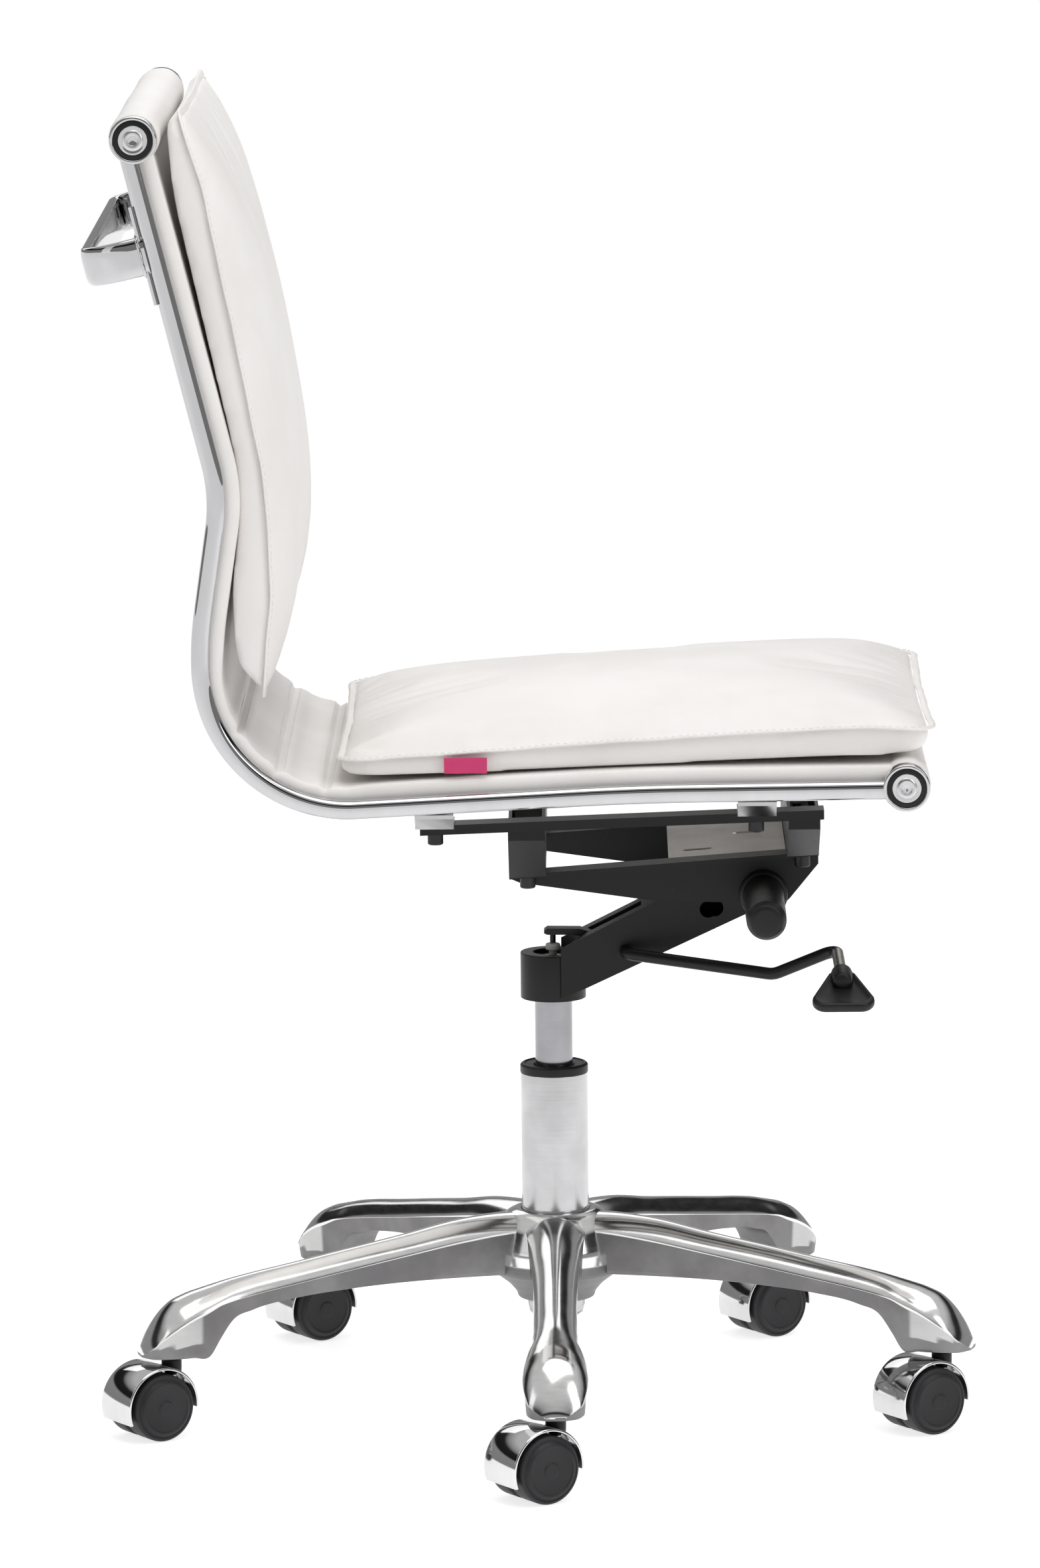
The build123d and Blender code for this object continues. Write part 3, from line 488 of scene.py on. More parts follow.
def powder_coat():
    """Satin black powder coat with a fine orange peel and lighter rubbed spots."""
    finish = Finish("black_powder_coat", **{"Specular IOR Level": 0.30})
    peel = finish.noise(700.0, 2.0)
    rub = finish.noise(46.0, 6.0, 0.7).between(0.60, 0.78)
    tint = finish.mix(rub * 0.35, colour(0.006, 0.006, 0.0062), colour(0.030, 0.029, 0.028))
    finish.set(Base_Color=tint, Roughness=0.34 + peel * 0.10 + rub * 0.10)
    return finish.set(Normal=finish.bump(peel, 0.00008, 0.5)).material


def moulded(name, base, rough, texture=900.0, depth=0.00005):
    """Moulded plastic with a spark-eroded texture and faint flow marks."""
    finish = Finish(name, **{"Specular IOR Level": 0.32})
    grain = finish.noise(texture, 3.0, 0.6)
    flow = finish.noise(22.0, 3.0, 0.5, (1.0, 1.0, 0.4))
    tint = finish.mix(flow.between(0.3, 0.7), colour(*base), colour(*[c * 1.25 + 0.004 for c in base]))
    finish.set(Base_Color=tint, Roughness=rough + grain * 0.12)
    return finish.set(Normal=finish.bump(grain, depth, 0.5)).material


def clear_moulding():
    """Clear plastic cap, slightly cloudy."""
    finish = Finish("clear_moulding", **{"Transmission Weight": 0.85, "IOR": 1.46})
    haze = finish.noise(70.0, 3.0)
    tint = finish.mix(haze, colour(0.90, 0.92, 0.93), colour(0.97, 0.98, 0.98))
    return finish.set(Base_Color=tint, Roughness=0.10 + haze * 0.15).material


def woven_tag():
    """Pink woven ribbon without any print."""
    finish = Finish("pink_ribbon", **{"Sheen Weight": 0.2})
    warp = finish.node("TexWave", {"bands_direction": "X"}, {"Vector": finish.place, "Scale": 900.0})
    weft = finish.node("TexWave", {"bands_direction": "Z"}, {"Vector": finish.place, "Scale": 700.0})
    weave = warp * weft
    tint = finish.mix(weave, colour(0.60, 0.035, 0.15), colour(0.78, 0.07, 0.24))
    return finish.set(Base_Color=tint, Roughness=0.75).set(Normal=finish.bump(weave, 0.0001, 0.6)).material


def thread():
    """White sewing thread."""
    finish = Finish("sewing_thread", Roughness=0.6)
    ply = finish.noise(1800.0, 2.0)
    tint = finish.mix(ply, colour(0.74, 0.72, 0.69), colour(0.88, 0.86, 0.84))
    return finish.set(Base_Color=tint).material


LEATHER = leatherette()
THREAD = thread()
CHROME = mirror_chrome("mirror_chrome", (0.57, 0.57, 0.58), 0.03, 0.04)
SATIN_PLATE = mirror_chrome("satin_plate", (0.50, 0.50, 0.51), 0.20, 0.12)
HOOD_CHROME = mirror_chrome("hood_chrome", (0.72, 0.72, 0.725), 0.07, 0.07)
CASTING = polished_casting()
TUBE_STEEL = ground_steel("ground_tube", (0.60, 0.60, 0.61), 0.15, (0.15, 0.15, 6.0), 120.0)
LIFT_STEEL = ground_steel("lift_cylinder_chrome", (0.36, 0.36, 0.375), 0.12, (0.15, 0.15, 6.0), 120.0)
BRIGHT_STEEL = ground_steel("bright_steel", (0.62, 0.62, 0.62), 0.22, (1.0, 1.0, 1.0))
BARE_STEEL = ground_steel("bare_steel", (0.56, 0.54, 0.51), 0.30, (6.0, 0.4, 1.0), 160.0)
POWDER = powder_coat()
BLACK_BOLT = ground_steel("black_oxide", (0.05, 0.05, 0.052), 0.34, (1.0, 1.0, 1.0))
BLACK_PLASTIC = moulded("black_moulding", (0.006, 0.006, 0.0062), 0.36)
WHEEL_PLASTIC = moulded("charcoal_wheel", (0.020, 0.020, 0.022), 0.46)
GREY_PLASTIC = moulded("grey_moulding", (0.42, 0.42, 0.41), 0.45)
NYLON = moulded("natural_nylon", (0.74, 0.73, 0.70), 0.45)
CLEAR = clear_moulding()
PINK_TAG = woven_tag()
SLOT_FINISH = {
    "polished_aluminium": CASTING, "chrome": CHROME, "hood_chrome": HOOD_CHROME, "satin_chrome": TUBE_STEEL,
    "bright_steel": BRIGHT_STEEL, "bare_steel": BARE_STEEL, "black_paint": POWDER, "black_bolts": BLACK_BOLT,
    "black_plastic": BLACK_PLASTIC, "wheel_plastic": WHEEL_PLASTIC, "grey_plastic": GREY_PLASTIC,
    "nylon": NYLON, "clear_plastic": CLEAR, "white_leather": LEATHER, "tag_fabric": PINK_TAG,
}
for node_name, node_object in frame["nodes"].items():
    node_object.data.materials.clear()
    node_object.data.materials.append(SLOT_FINISH[slot_of[node_name]])


# ======================= camera, light and floor =======================
def camera():
    """The camera at the chair's right side, a little above it and level with its middle."""
    view_height, sensor_height, focal = 2363.0, 24.0, 13478.6
    yaw, pitch, roll = radians(-0.49), radians(9.093), radians(0.62)
    distance, aim = 6.6387, Vector((-0.0232, 0.0, 0.4694))
    forward = Vector((sin(yaw) * cos(pitch), cos(yaw) * cos(pitch), -sin(pitch)))
    right = Vector((cos(yaw), -sin(yaw), 0.0))
    up = right.cross(forward)
    rolled_right = right * cos(roll) - up * sin(roll)
    rolled_up = right * sin(roll) + up * cos(roll)
    turn = Matrix((rolled_right, rolled_up, -forward)).transposed().to_4x4()
    data = bpy.data.cameras.new("camera")
    data.sensor_fit = "VERTICAL"
    data.sensor_height = sensor_height
    data.lens = focal * sensor_height / view_height
    data.clip_end = 200.0
    holder = linked("camera", data)
    holder.matrix_world = Matrix.Translation(aim - forward * distance) @ turn
    bpy.context.scene.camera = holder


def room():
    """Surroundings: white overhead, a dark band above the horizon that the bright metal mirrors."""
    world = bpy.data.worlds.new("studio")
    shading = Shading(world)
    direction = shading.node("TexCoord", {}, {}, output="Generated")
    height = shading.node("SeparateXYZ", {}, {0: direction}, output="Z")
    stops = [(0.0, 0.6), (0.490, 0.45), (0.628, 0.50), (0.642, 0.02),
             (0.73, 0.03), (0.765, 0.50), (0.84, 1.0)]
    sockets = {"Fac": height * 0.5 + 0.5}
    ramp = [(position, (tone,) * 3) for position, tone in stops]
    grey = shading.node("ValToRGB", {"stops": ramp}, sockets)
    sky = shading.node("Background", {}, {"Color": grey, "Strength": 0.55})
    shading.node("OutputWorld", {}, {"Surface": sky}, output=None)
    bpy.context.scene.world = world


def lamps():
    """Four soft boxes: name, place, target, width, height and power."""
    boxes = [
        ("overhead", (0.3, -0.4, 3.2), (0.0, 0.0, 0.4), 3.0, 2.2, 46.0),
        ("key", (2.6, -2.6, 2.6), (0.0, 0.0, 0.5), 1.6, 2.4, 30.0),
        ("fill", (-3.0, -2.0, 1.8), (0.0, 0.0, 0.5), 1.4, 2.2, 7.0),
        ("back", (-0.6, 3.2, 2.0), (0.0, 0.0, 0.6), 2.6, 1.2, 12.0),
    ]
    for name, position, target, width, height, power in boxes:
        lamp = bpy.data.lights.new(name, "AREA")
        lamp.shape = "RECTANGLE"
        lamp.size, lamp.size_y, lamp.energy = width, height, power
        holder = linked(name, lamp)
        holder.location = position
        holder.rotation_euler = (Vector(target) - Vector(position)).to_track_quat("-Z", "Y").to_euler()


def floor():
    """A wide white floor that glows a little, so that it stays white far away."""
    finish = Finish("pale_floor", **{"Roughness": 0.6, "Specular IOR Level": 0.1, "Emission Strength": 0.76})
    speck = finish.noise(3.0, 2.0)
    finish.set(Base_Color=finish.mix(speck, colour(0.59, 0.59, 0.59), colour(0.61, 0.61, 0.61)))
    finish.set(Emission_Color=colour(1.0, 1.0, 1.0))
    reach = 60.0
    corners = [(-reach, -reach, 0), (reach, -reach, 0), (reach, reach, 0), (-reach, reach, 0)]
    add_piece("floor", corners, [[0, 1, 2, 3]], finish.material)


def studio():
    """Camera, surroundings, lights and floor."""
    camera()
    room()
    lamps()
    floor()
    bpy.context.scene.view_settings.view_transform = "Standard"


studio()


# ======================= rails, caps and handle =======================
def side_rails():
    """Rounded square bar, bent to the chair's profile; it runs into the caps at both ends."""
    samples, headings = side_route(RAIL_POINTS, RAIL_BENDS, 0.004)
    outline = crowned_outline(RAIL_SIZE, RAIL_SIZE, 3.0, 40)
    for side, y in (("right", -RAIL_Y), ("left", RAIL_Y)):
        shape = swept(samples + [0, y, 0], headings, outline, LEFT)
        node_piece(f"{side}_rail_bar", shape, CHROME, f"{side}_side_rail", 50.0)


# Piece, finish, slot, nodes, rounding and profile of (radius, distance out from the cap's face).
CAP_PARTS = [
    ("cap_rims", CHROME, "chrome", ["bar_caps"], 0.0012, [
        (0.0125, -0.016), (CAP_R, -0.016), (CAP_R, 0.0), (0.0144, 0.0), (0.0142, -0.0016), (0.0, -0.0016)]),
    ("cap_rings", BLACK_PLASTIC, "black_plastic", [], 0.0004, [
        (0.0, -0.0020), (0.0, -0.0010), (0.0104, -0.0010), (0.0108, -0.0007), (0.0143, -0.0009),
        (0.0143, -0.0022)]),
    ("cap_washers", CHROME, "chrome", [], 0.0003, [
        (0.0, -0.0018), (0.0, -0.0006), (0.0078, -0.0004), (0.0104, -0.0002), (0.0107, -0.0018)]),
    ("cap_screw_heads", BRIGHT_STEEL, "bright_steel", ["cap_screws"], 0.0006, [
        (0.0, -0.0026), (0.0034, -0.0026), (0.0036, 0.0004), (0.0060, 0.0005), (0.0075, -0.0002),
        (0.0076, -0.0012)]),
]


def caps():
    """Turned caps: rounded rim, black ring in a groove, washer and socket screw."""
    for name, material, slot, nodes, radius, corners in CAP_PARTS:
        profile = rounded_profile(corners, radius)
        parts = [turned(profile, (x, side * CAP_FACE_Y, z), (0, side, 0), 72)
                 for x, z in (TOP_ROLL, FRONT_ROLL) for side in (-1, 1)]
        place(add_piece(name, *join_parts(parts), material, 40.0), "seat", slot, *nodes)


HANDLE_Z = 0.889
HANDLE_BOW = 0.049
HANDLE_BEND = 0.031
HANDLE_PLATE = 0.072
BEAD_REACH = (0.0146, 0.0056)


def weld_bead(centre, down, back):
    """Bead of wavy thickness round a handle end: (a |cos|^0.5, b |sin|^0.5) with the signs of cos and sin."""
    angle = np.linspace(0, 2 * pi, 48)
    ring = np.stack([np.cos(angle), np.sin(angle)], -1)
    ring = np.sign(ring) * np.abs(ring) ** 0.5 * BEAD_REACH
    line = centre + ring[:, :1] * down + ring[:, 1:] * LEFT
    up = np.cross(unit(np.gradient(line, axis=0)), back)
    section = back * circle(8)[None, :, :1] + up[:, None] * circle(8)[None, :, 1:]
    thickness = 0.0012 + 0.0003 * np.sin(angle * 23)
    return line[:, None] + thickness[:, None, None] * section, grid_faces(48, 8, wrap_columns=True)


def handle():
    """Flat band bowed behind the back, with end plates along the rails and a weld bead round each end."""
    (x0, z0), (x1, z1) = RAIL_POINTS[:2]
    lean = atan2(x1 - x0, z0 - z1)
    middle = np.array([x0 + (z0 - HANDLE_Z) * (x1 - x0) / (z0 - z1), 0.0, HANDLE_Z])
    back = np.array([-cos(lean), 0.0, -sin(lean)])
    down = np.array([sin(lean), 0.0, -cos(lean)])
    half, arm = RAIL_SIZE / 2, RAIL_Y + 0.002
    turns = [(half - 0.001, -arm), (HANDLE_BOW, -arm), (HANDLE_BOW, arm), (half - 0.001, arm)]
    corners = [middle + back * out + LEFT * y for out, y in turns]
    samples, headings = route(corners, [HANDLE_BEND, HANDLE_BEND], 0.003)
    parts = [swept(samples, headings, crowned_outline(0.028, 0.0098, 3.6, 40), down)]
    plate = rounded_outline(0.0125, 0.0035, 0.0014, 5)
    for side in (-1, 1):
        start = middle + back * (half + 0.001) + LEFT * side * RAIL_Y - down * HANDLE_PLATE / 2
        line = start + np.linspace(0, HANDLE_PLATE, 12)[:, None] * down
        parts.append(swept(line, np.tile(down, (12, 1)), plate, LEFT))
        parts.append(weld_bead(middle + back * (half + 0.0028) + LEFT * side * arm, down, back))
    node_piece("bow_handle", join_parts(parts), CHROME, "back_handle", 50.0)


side_rails()
caps()
handle()


# ======================= sling =======================
SEAM_POINTS = [(-0.2292, 0.5394), (-0.201, 0.507), (-0.1626, 0.4899)]
SLING_NEAR = 0.001
SLING_THIN = 0.0132
SLING_THICK = 0.0165
STITCH_LENGTH = 0.0031
STITCH_WIDTH = 0.0005


def seam_places(samples):
    """Distances along the rail at which the cross seams lie."""
    gaps = [np.hypot(samples[:, 0] - x, samples[:, 2] - z) for x, z in SEAM_POINTS]
    return along(samples)[np.argmin(gaps, axis=1)]


def sling_front(distance, seams):
    """Height of the sling's face over the rail line: thick under the pads, thin and seamed in the bend.

    The bend's share is a product of two logistic steps; each seam is a Gaussian groove between two low swells.
    """
    enter = 1 / (1 + np.exp(-(distance - (seams[0] - 0.055)) / 0.010))
    leave = 1 + np.exp((distance - (seams[-1] + 0.020)) / 0.008)
    height = SLING_THICK + (SLING_THIN - SLING_THICK) * enter / leave
    for seam in seams:
        height = height - 0.0022 * np.exp(-((distance - seam) / 0.0028) ** 2)
        height = height + 0.0007 * np.exp(-((np.abs(distance - seam) - 0.009) / 0.005) ** 2)
    return height


def sling_panel():
    """Closed skin carried along the rail line.

    Across the chair the outline is a flat slab with half-round edges and a crease along the edge wall;
    its face height follows sling_front.
    """
    samples, headings = side_route(RAIL_POINTS, RAIL_BENDS, 0.0016)
    distance = along(samples)
    seams = seam_places(samples)
    front = sling_front(distance, seams)
    normal = np.stack([headings[:, 2] * -1, headings[:, 1] * 0, headings[:, 0]], -1)
    rim = np.linspace(0.94, 1, 9)[1:]
    across = np.concatenate([-rim[::-1], np.linspace(-0.94, 0.94, 41), rim])
    edge = 1 - np.clip((np.abs(across) - 0.975) / 0.025, 0, 1) ** 2.4
    edge = np.maximum(edge, 0.0) ** 0.5
    half = (front[:, None] - SLING_NEAR) * 0.5
    middle = SLING_NEAR + half
    ripple = 0.00035 * np.sin(distance[:, None] * 61 + across[None] * 3.1) * np.cos(across[None] * 5.0)
    top = middle + half * (0.16 + 0.84 * edge)[None] + ripple * edge[None]
    under = middle - half * (0.16 + 0.84 * edge)[None]
    heights = np.concatenate([top, under[:, ::-1]], 1)
    ys = np.concatenate([across, across[::-1]]) * (SLING_HALF - 0.0002)
    points = samples[:, None] + normal[:, None] * heights[..., None]
    points = points + ys[None, :, None] * LEFT
    faces = capped_faces(len(samples), len(ys))
    parts = [(points, faces)]
    for x, z in (TOP_ROLL, FRONT_ROLL):
        y = np.linspace(-1, 1, 61)
        waist = ROLL_R * (1 - 0.030 * np.sin((1 - np.abs(y)) * pi) - 0.10 * np.abs(y) ** 60)
        tuck = 1 + 0.006 * np.sin(y * 37)
        profile = np.stack([waist * tuck, y * (SLING_HALF - 0.0003)], -1)
        profile = np.concatenate([[(0.012, -SLING_HALF)], profile, [(0.012, SLING_HALF)]])
        parts.append(turned(profile, (x, 0, z), (0, 1, 0), 56))
    node_piece("sling_cover", join_parts(parts), LEATHER, "sling", 60.0)
    return samples, headings, front, seams


def stitches(name, centres, directions, normals):
    """One thread stitch at each centre: a six-sided spindle lying along its direction, half sunk."""
    shape = np.array([(-0.5, 0.15), (-0.35, 0.8), (0.0, 1.0), (0.35, 0.8), (0.5, 0.15)])
    spindle = shape[:, None, 1:] * circle(6)[None] * [STITCH_WIDTH, STITCH_WIDTH * 0.8]
    runs = np.repeat(shape[:, :1], 6, 1)[..., None] * STITCH_LENGTH
    side = np.cross(normals, directions)
    points = (centres[:, None, None] + directions[:, None, None] * runs
              + side[:, None, None] * spindle[..., :1] + normals[:, None, None] * spindle[..., 1:])
    one = capped_faces(len(shape), 6)
    count = len(shape) * 6
    faces = [[corner + index * count for corner in face] for index in range(len(centres)) for face in one]
    place(add_piece(name, points, faces, THREAD, 60.0, 1e-7), "seat", "white_leather")


def sling_stitching(samples, headings, front, seams):
    """Rows of stitches across the sling beside each seam."""
    distance = along(samples)
    ys = np.arange(-SLING_HALF + 0.006, SLING_HALF - 0.004, 0.0048)[:, None]
    centres, normals = [], []
    for place_along in [seam + shift for seam in seams for shift in (-0.0042, 0.0042)]:
        index = np.argmin(np.abs(distance - place_along))
        normal = np.array([-headings[index][2], 0, headings[index][0]])
        centres.append(samples[index] + normal * (front[index] + 0.0001) + ys * LEFT)
        normals.append(np.tile(normal, (len(ys), 1)))
    centres, normals = np.concatenate(centres), np.concatenate(normals)
    stitches("sling_stitches", centres, np.tile(LEFT, (len(centres), 1)), normals)


sling_stitching(*sling_panel())


# ======================= pads =======================
class Pad:
    """A boxed cushion on the sling: a rounded-rectangle outline, an upright wall, a seam and a crowned face."""

    def __init__(self, name, node, rear, rear_bends, seam, seam_bends, crown, corner):
        self.name, self.node, self.crown = name, node, crown
        self.rear, _ = side_route(rear, rear_bends, 0.002)
        self.seam, _ = side_route(seam, seam_bends, 0.002)
        self.rear_share = along(self.rear) / along(self.rear)[-1]
        self.seam_share = along(self.seam) / along(self.seam)[-1]
        self.length = along(self.seam)[-1]
        angle = np.linspace(0, 2 * pi, 240, endpoint=False)
        self.outline = self.rounded(angle, corner)

    def rounded(self, angle, corner):
        """Outline points (share along the pad, y): a rounded rectangle drawn in at the middle of each side."""
        half_long, half_wide = self.length / 2, PAD_HALF - 0.004
        ring = rounded_outline(2 * half_long, 2 * half_wide, corner, 14)
        ring = np.concatenate([ring, ring[:1]])
        steps = np.concatenate([[0], np.cumsum(np.linalg.norm(np.diff(ring, axis=0), axis=1))])
        spaced = angle / (2 * pi) * steps[-1]
        points = np.stack([np.interp(spaced, steps, ring[:, 0]), np.interp(spaced, steps, ring[:, 1])], -1)
        pull = 0.0030
        long_share, wide_share = points[:, 0] / half_long, points[:, 1] / half_wide
        points[:, 0] -= np.sign(long_share) * pull * (np.abs(long_share) > 0.98) * np.cos(wide_share * pi / 2)
        points[:, 1] -= np.sign(wide_share) * pull * (np.abs(wide_share) > 0.98) * np.cos(long_share * pi / 2)
        return points

    def at(self, share, y, depth):
        """A point at a share of the pad's length; depth 0 lies on the sling and 1 at the seam."""
        share = np.clip(share, 0, 1)
        rear = np.stack([np.interp(share, self.rear_share, self.rear[:, k]) for k in (0, 2)], -1)
        seam = np.stack([np.interp(share, self.seam_share, self.seam[:, k]) for k in (0, 2)], -1)
        mixed = rear + (seam - rear) * depth[..., None]
        return np.stack([mixed[..., 0], np.broadcast_to(y, mixed[..., 0].shape), mixed[..., 1]], -1)

    def normal(self, share):
        """Outward direction of the seam plane at a share of the length."""
        gradient = unit(np.gradient(self.seam, axis=0))
        out = np.stack([-gradient[:, 2], gradient[:, 0]], -1)
        share = np.clip(share, 0, 1)
        mixed = unit(np.stack([np.interp(share, self.seam_share, out[:, k]) for k in (0, 1)], -1))
        return np.stack([mixed[..., 0], mixed[..., 0] * 0, mixed[..., 1]], -1)

    def body(self, puff):
        """The closed cushion before it is inflated.

        Rings shrink from the seam to the middle of the face, and from the wall's foot to the rear's middle.
        The face rises by crown (1 - ring^3)^0.7.
        """
        face = np.linspace(0, 1, 34) ** 0.75
        wall = np.linspace(1, 0, 7)[1:]
        rear = np.linspace(1, 0, 14)[1:]
        flat = np.zeros(len(wall) + len(rear))
        rings = np.concatenate([face, 1 + 0.006 * np.sin(wall * pi), rear])[:, None]
        depths = np.concatenate([np.ones(len(face)), wall, rear * 0])[:, None]
        rise = np.concatenate([puff * self.crown * (1 - face ** 3.0) ** 0.7, flat])[:, None]
        share = 0.5 + rings * self.outline[None, :, 0] / self.length
        y = rings * self.outline[None, :, 1]
        points = self.at(share, y, np.broadcast_to(depths, share.shape)) + self.normal(share) * rise[..., None]
        return points, grid_faces(len(rings), self.outline.shape[0], wrap_columns=True)

    def held(self, points):
        """1 on the rear and the wall up to just under the seam, 0 on the face."""
        seam = self.seam[None]
        nearest = np.argmin(np.hypot(points[:, None, 0] - seam[..., 0], points[:, None, 2] - seam[..., 2]), 1)
        out = self.normal(self.seam_share[nearest])
        rise = np.sum((points - self.seam[nearest]) * out * [1, 0, 1], 1)
        return np.clip(1 - (rise - 0.0005) / 0.003, 0, 1)


def coordinates(mesh):
    """The mesh's points as an array."""
    flat = np.empty(len(mesh.vertices) * 3)
    mesh.vertices.foreach_get("co", flat)
    return flat.reshape(-1, 3)


PAD_VOXEL = 0.005
PAD_PRESSURE = 4.0
PAD_FRAMES = 20
PAD_CAP = 0.010


def inflate(piece, held):
    """Remeshes a pad, blows it up as cloth with its held points pinned, caps each move and applies it."""
    remesh = piece.modifiers.new("remesh", "REMESH")
    remesh.mode, remesh.voxel_size = "VOXEL", PAD_VOXEL
    apply_modifier(piece, remesh)
    start = coordinates(piece.data)
    pins = held(start)
    group = piece.vertex_groups.new(name="held")
    for index in np.nonzero(pins > 0.001)[0]:
        group.add([int(index)], float(pins[index]), "REPLACE")
    cloth = piece.modifiers.new("cloth", "CLOTH")
    settings = cloth.settings
    settings.quality, settings.mass = 5, 0.3
    settings.tension_stiffness, settings.compression_stiffness, settings.bending_stiffness = 30.0, 12.0, 3.0
    settings.shrink_min = -0.004
    settings.use_pressure, settings.uniform_pressure_force = True, PAD_PRESSURE
    settings.effector_weights.gravity = 0.0
    settings.vertex_group_mass = group.name
    cloth.collision_settings.use_collision = False
    cloth.point_cache.frame_start, cloth.point_cache.frame_end = 1, PAD_FRAMES
    for number in range(1, PAD_FRAMES + 1):
        bpy.context.scene.frame_set(number)
    move = coordinates(piece.evaluated_get(bpy.context.evaluated_depsgraph_get()).to_mesh()) - start
    piece.modifiers.remove(cloth)
    bpy.context.scene.frame_set(1)
    size = np.linalg.norm(move, axis=1, keepdims=True)
    move *= np.minimum(1, PAD_CAP / np.maximum(size, 1e-9))
    piece.data.vertices.foreach_set("co", (start + move).ravel())
    piece.data.update()


def apply_modifier(piece, modifier):
    """Replaces a piece's mesh by what its modifiers make of it."""
    solid = bpy.data.meshes.new_from_object(piece.evaluated_get(bpy.context.evaluated_depsgraph_get()))
    piece.modifiers.remove(modifier)
    old = piece.data
    piece.data = solid
    bpy.data.meshes.remove(old)


def make_pad(pad):
    """Cushion body, welt round its seam and the welt's stitches."""
    piece = add_piece(pad.name, *pad.body(0.86), LEATHER, 60.0, 1e-5)
    inflate(piece, pad.held)
    divide = piece.modifiers.new("divide", "SUBSURF")
    divide.levels = divide.render_levels = 1
    piece.data.materials.clear()
    piece.data.materials.append(LEATHER)
    piece.data.polygons.foreach_set("use_smooth", [True] * len(piece.data.polygons))
    stand_for(piece, pad.node)
    welt(pad)


def welt(pad):
    """Two-layer flange sewn round the seam: a flat strip, slightly wavy, with a row of stitches."""
    outline = pad.outline
    count = len(outline)
    tangent = unit(np.roll(outline, -1, 0) - np.roll(outline, 1, 0))
    outward = np.stack([tangent[:, 1], -tangent[:, 0]], -1)
    outward = outward * np.sign(np.sum(outward * outline, 1, keepdims=True))
    steps, full = np.arange(count), np.ones(count)
    wave = 0.0003 * np.sin(steps * 0.31) + 0.0002 * np.sin(steps * 0.83 + 1.0)
    lift = 0.0004 + wave
    section = rounded_outline(0.0054, 0.0020, 0.0009, 4) + [0.0012, 0.0]
    share = 0.5 + outline[:, 0] / pad.length
    inner = np.clip(share, 0.01, 0.99)
    normal = pad.normal(share)
    centre = pad.at(share, outline[:, 1], full)
    run = unit(pad.at(inner + 0.005, outline[:, 1], full) - pad.at(inner - 0.005, outline[:, 1], full))
    ahead = unit(run * outward[:, :1] + LEFT * outward[:, 1:])
    strip = (centre[:, None] + ahead[:, None] * (section[None, :, :1] + wave[:, None, None] * 0.6)
             + normal[:, None] * (section[None, :, 1:] + lift[:, None, None]))
    faces = grid_faces(count, len(section), wrap_rows=True, wrap_columns=True)
    place(add_piece(pad.name + "_welt", strip, faces, LEATHER, 60.0, 1e-7), "seat", "white_leather")
    reach = along(np.concatenate([centre, centre[:1]]))
    at_mark = np.interp(np.arange(0, reach[-1], 0.0052), reach, np.arange(count + 1))
    low = np.floor(at_mark).astype(int) % count
    part = (at_mark - np.floor(at_mark))[:, None]
    line = centre + ahead * 0.0026 + normal * (lift + 0.0012)[:, None]
    step = line[(low + 1) % count] - line[low]
    stitches(pad.name + "_stitches", line[low] + step * part, unit(step), normal[low])


BACK_PAD = Pad(
    "back_cushion", "back_pad",
    [(-0.2690, 0.9800), (-0.2640, 0.9250), (-0.2190, 0.7200), (-0.2270, 0.6400), (-0.2240, 0.5900),
     (-0.2080, 0.5720)],
    [0.15, 0.25, 0.15, 0.02],
    [(-0.2600, 0.9845), (-0.2425, 0.9300), (-0.2025, 0.7250), (-0.1985, 0.6400), (-0.2060, 0.5665)],
    [0.2, 0.30, 0.15], 0.023, 0.022)
SEAT_PAD = Pad(
    "seat_cushion", "seat_pad",
    [(-0.1500, 0.5075), (-0.0600, 0.5090), (0.1000, 0.5150), (0.2400, 0.5200), (0.2700, 0.5210)],
    [0.3, 0.3, 0.3],
    [(-0.1510, 0.5185), (-0.1100, 0.5215), (0.1000, 0.5345), (0.2300, 0.5410), (0.2755, 0.5370)],
    [0.2, 0.6, 0.15], 0.022, 0.026)
make_pad(BACK_PAD)
make_pad(SEAT_PAD)


def seat_tag():
    """Plain folded ribbon that hangs from the seat pad's seam."""
    low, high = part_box("seat_tag")
    rows, half = 12, 8
    grid_x, grid_z = np.meshgrid(np.linspace(low[0], high[0], rows), np.linspace(high[2], low[2], half),
                                 indexing="ij")
    curl = 0.0006 * np.sin((grid_z - low[2]) * 260) + 0.0003 * np.sin(grid_x * 300)
    y = low[1] + 0.0004 + curl
    outer = np.stack([grid_x, y - 0.0003, grid_z], -1)
    inner = np.stack([grid_x, y + 0.0003, grid_z], -1)[:, ::-1]
    loop = np.concatenate([outer, inner], 1)
    node_piece("pink_seat_tag", (loop, capped_faces(rows, 2 * half)), PINK_TAG, "seat_tag", 60.0)


seat_tag()


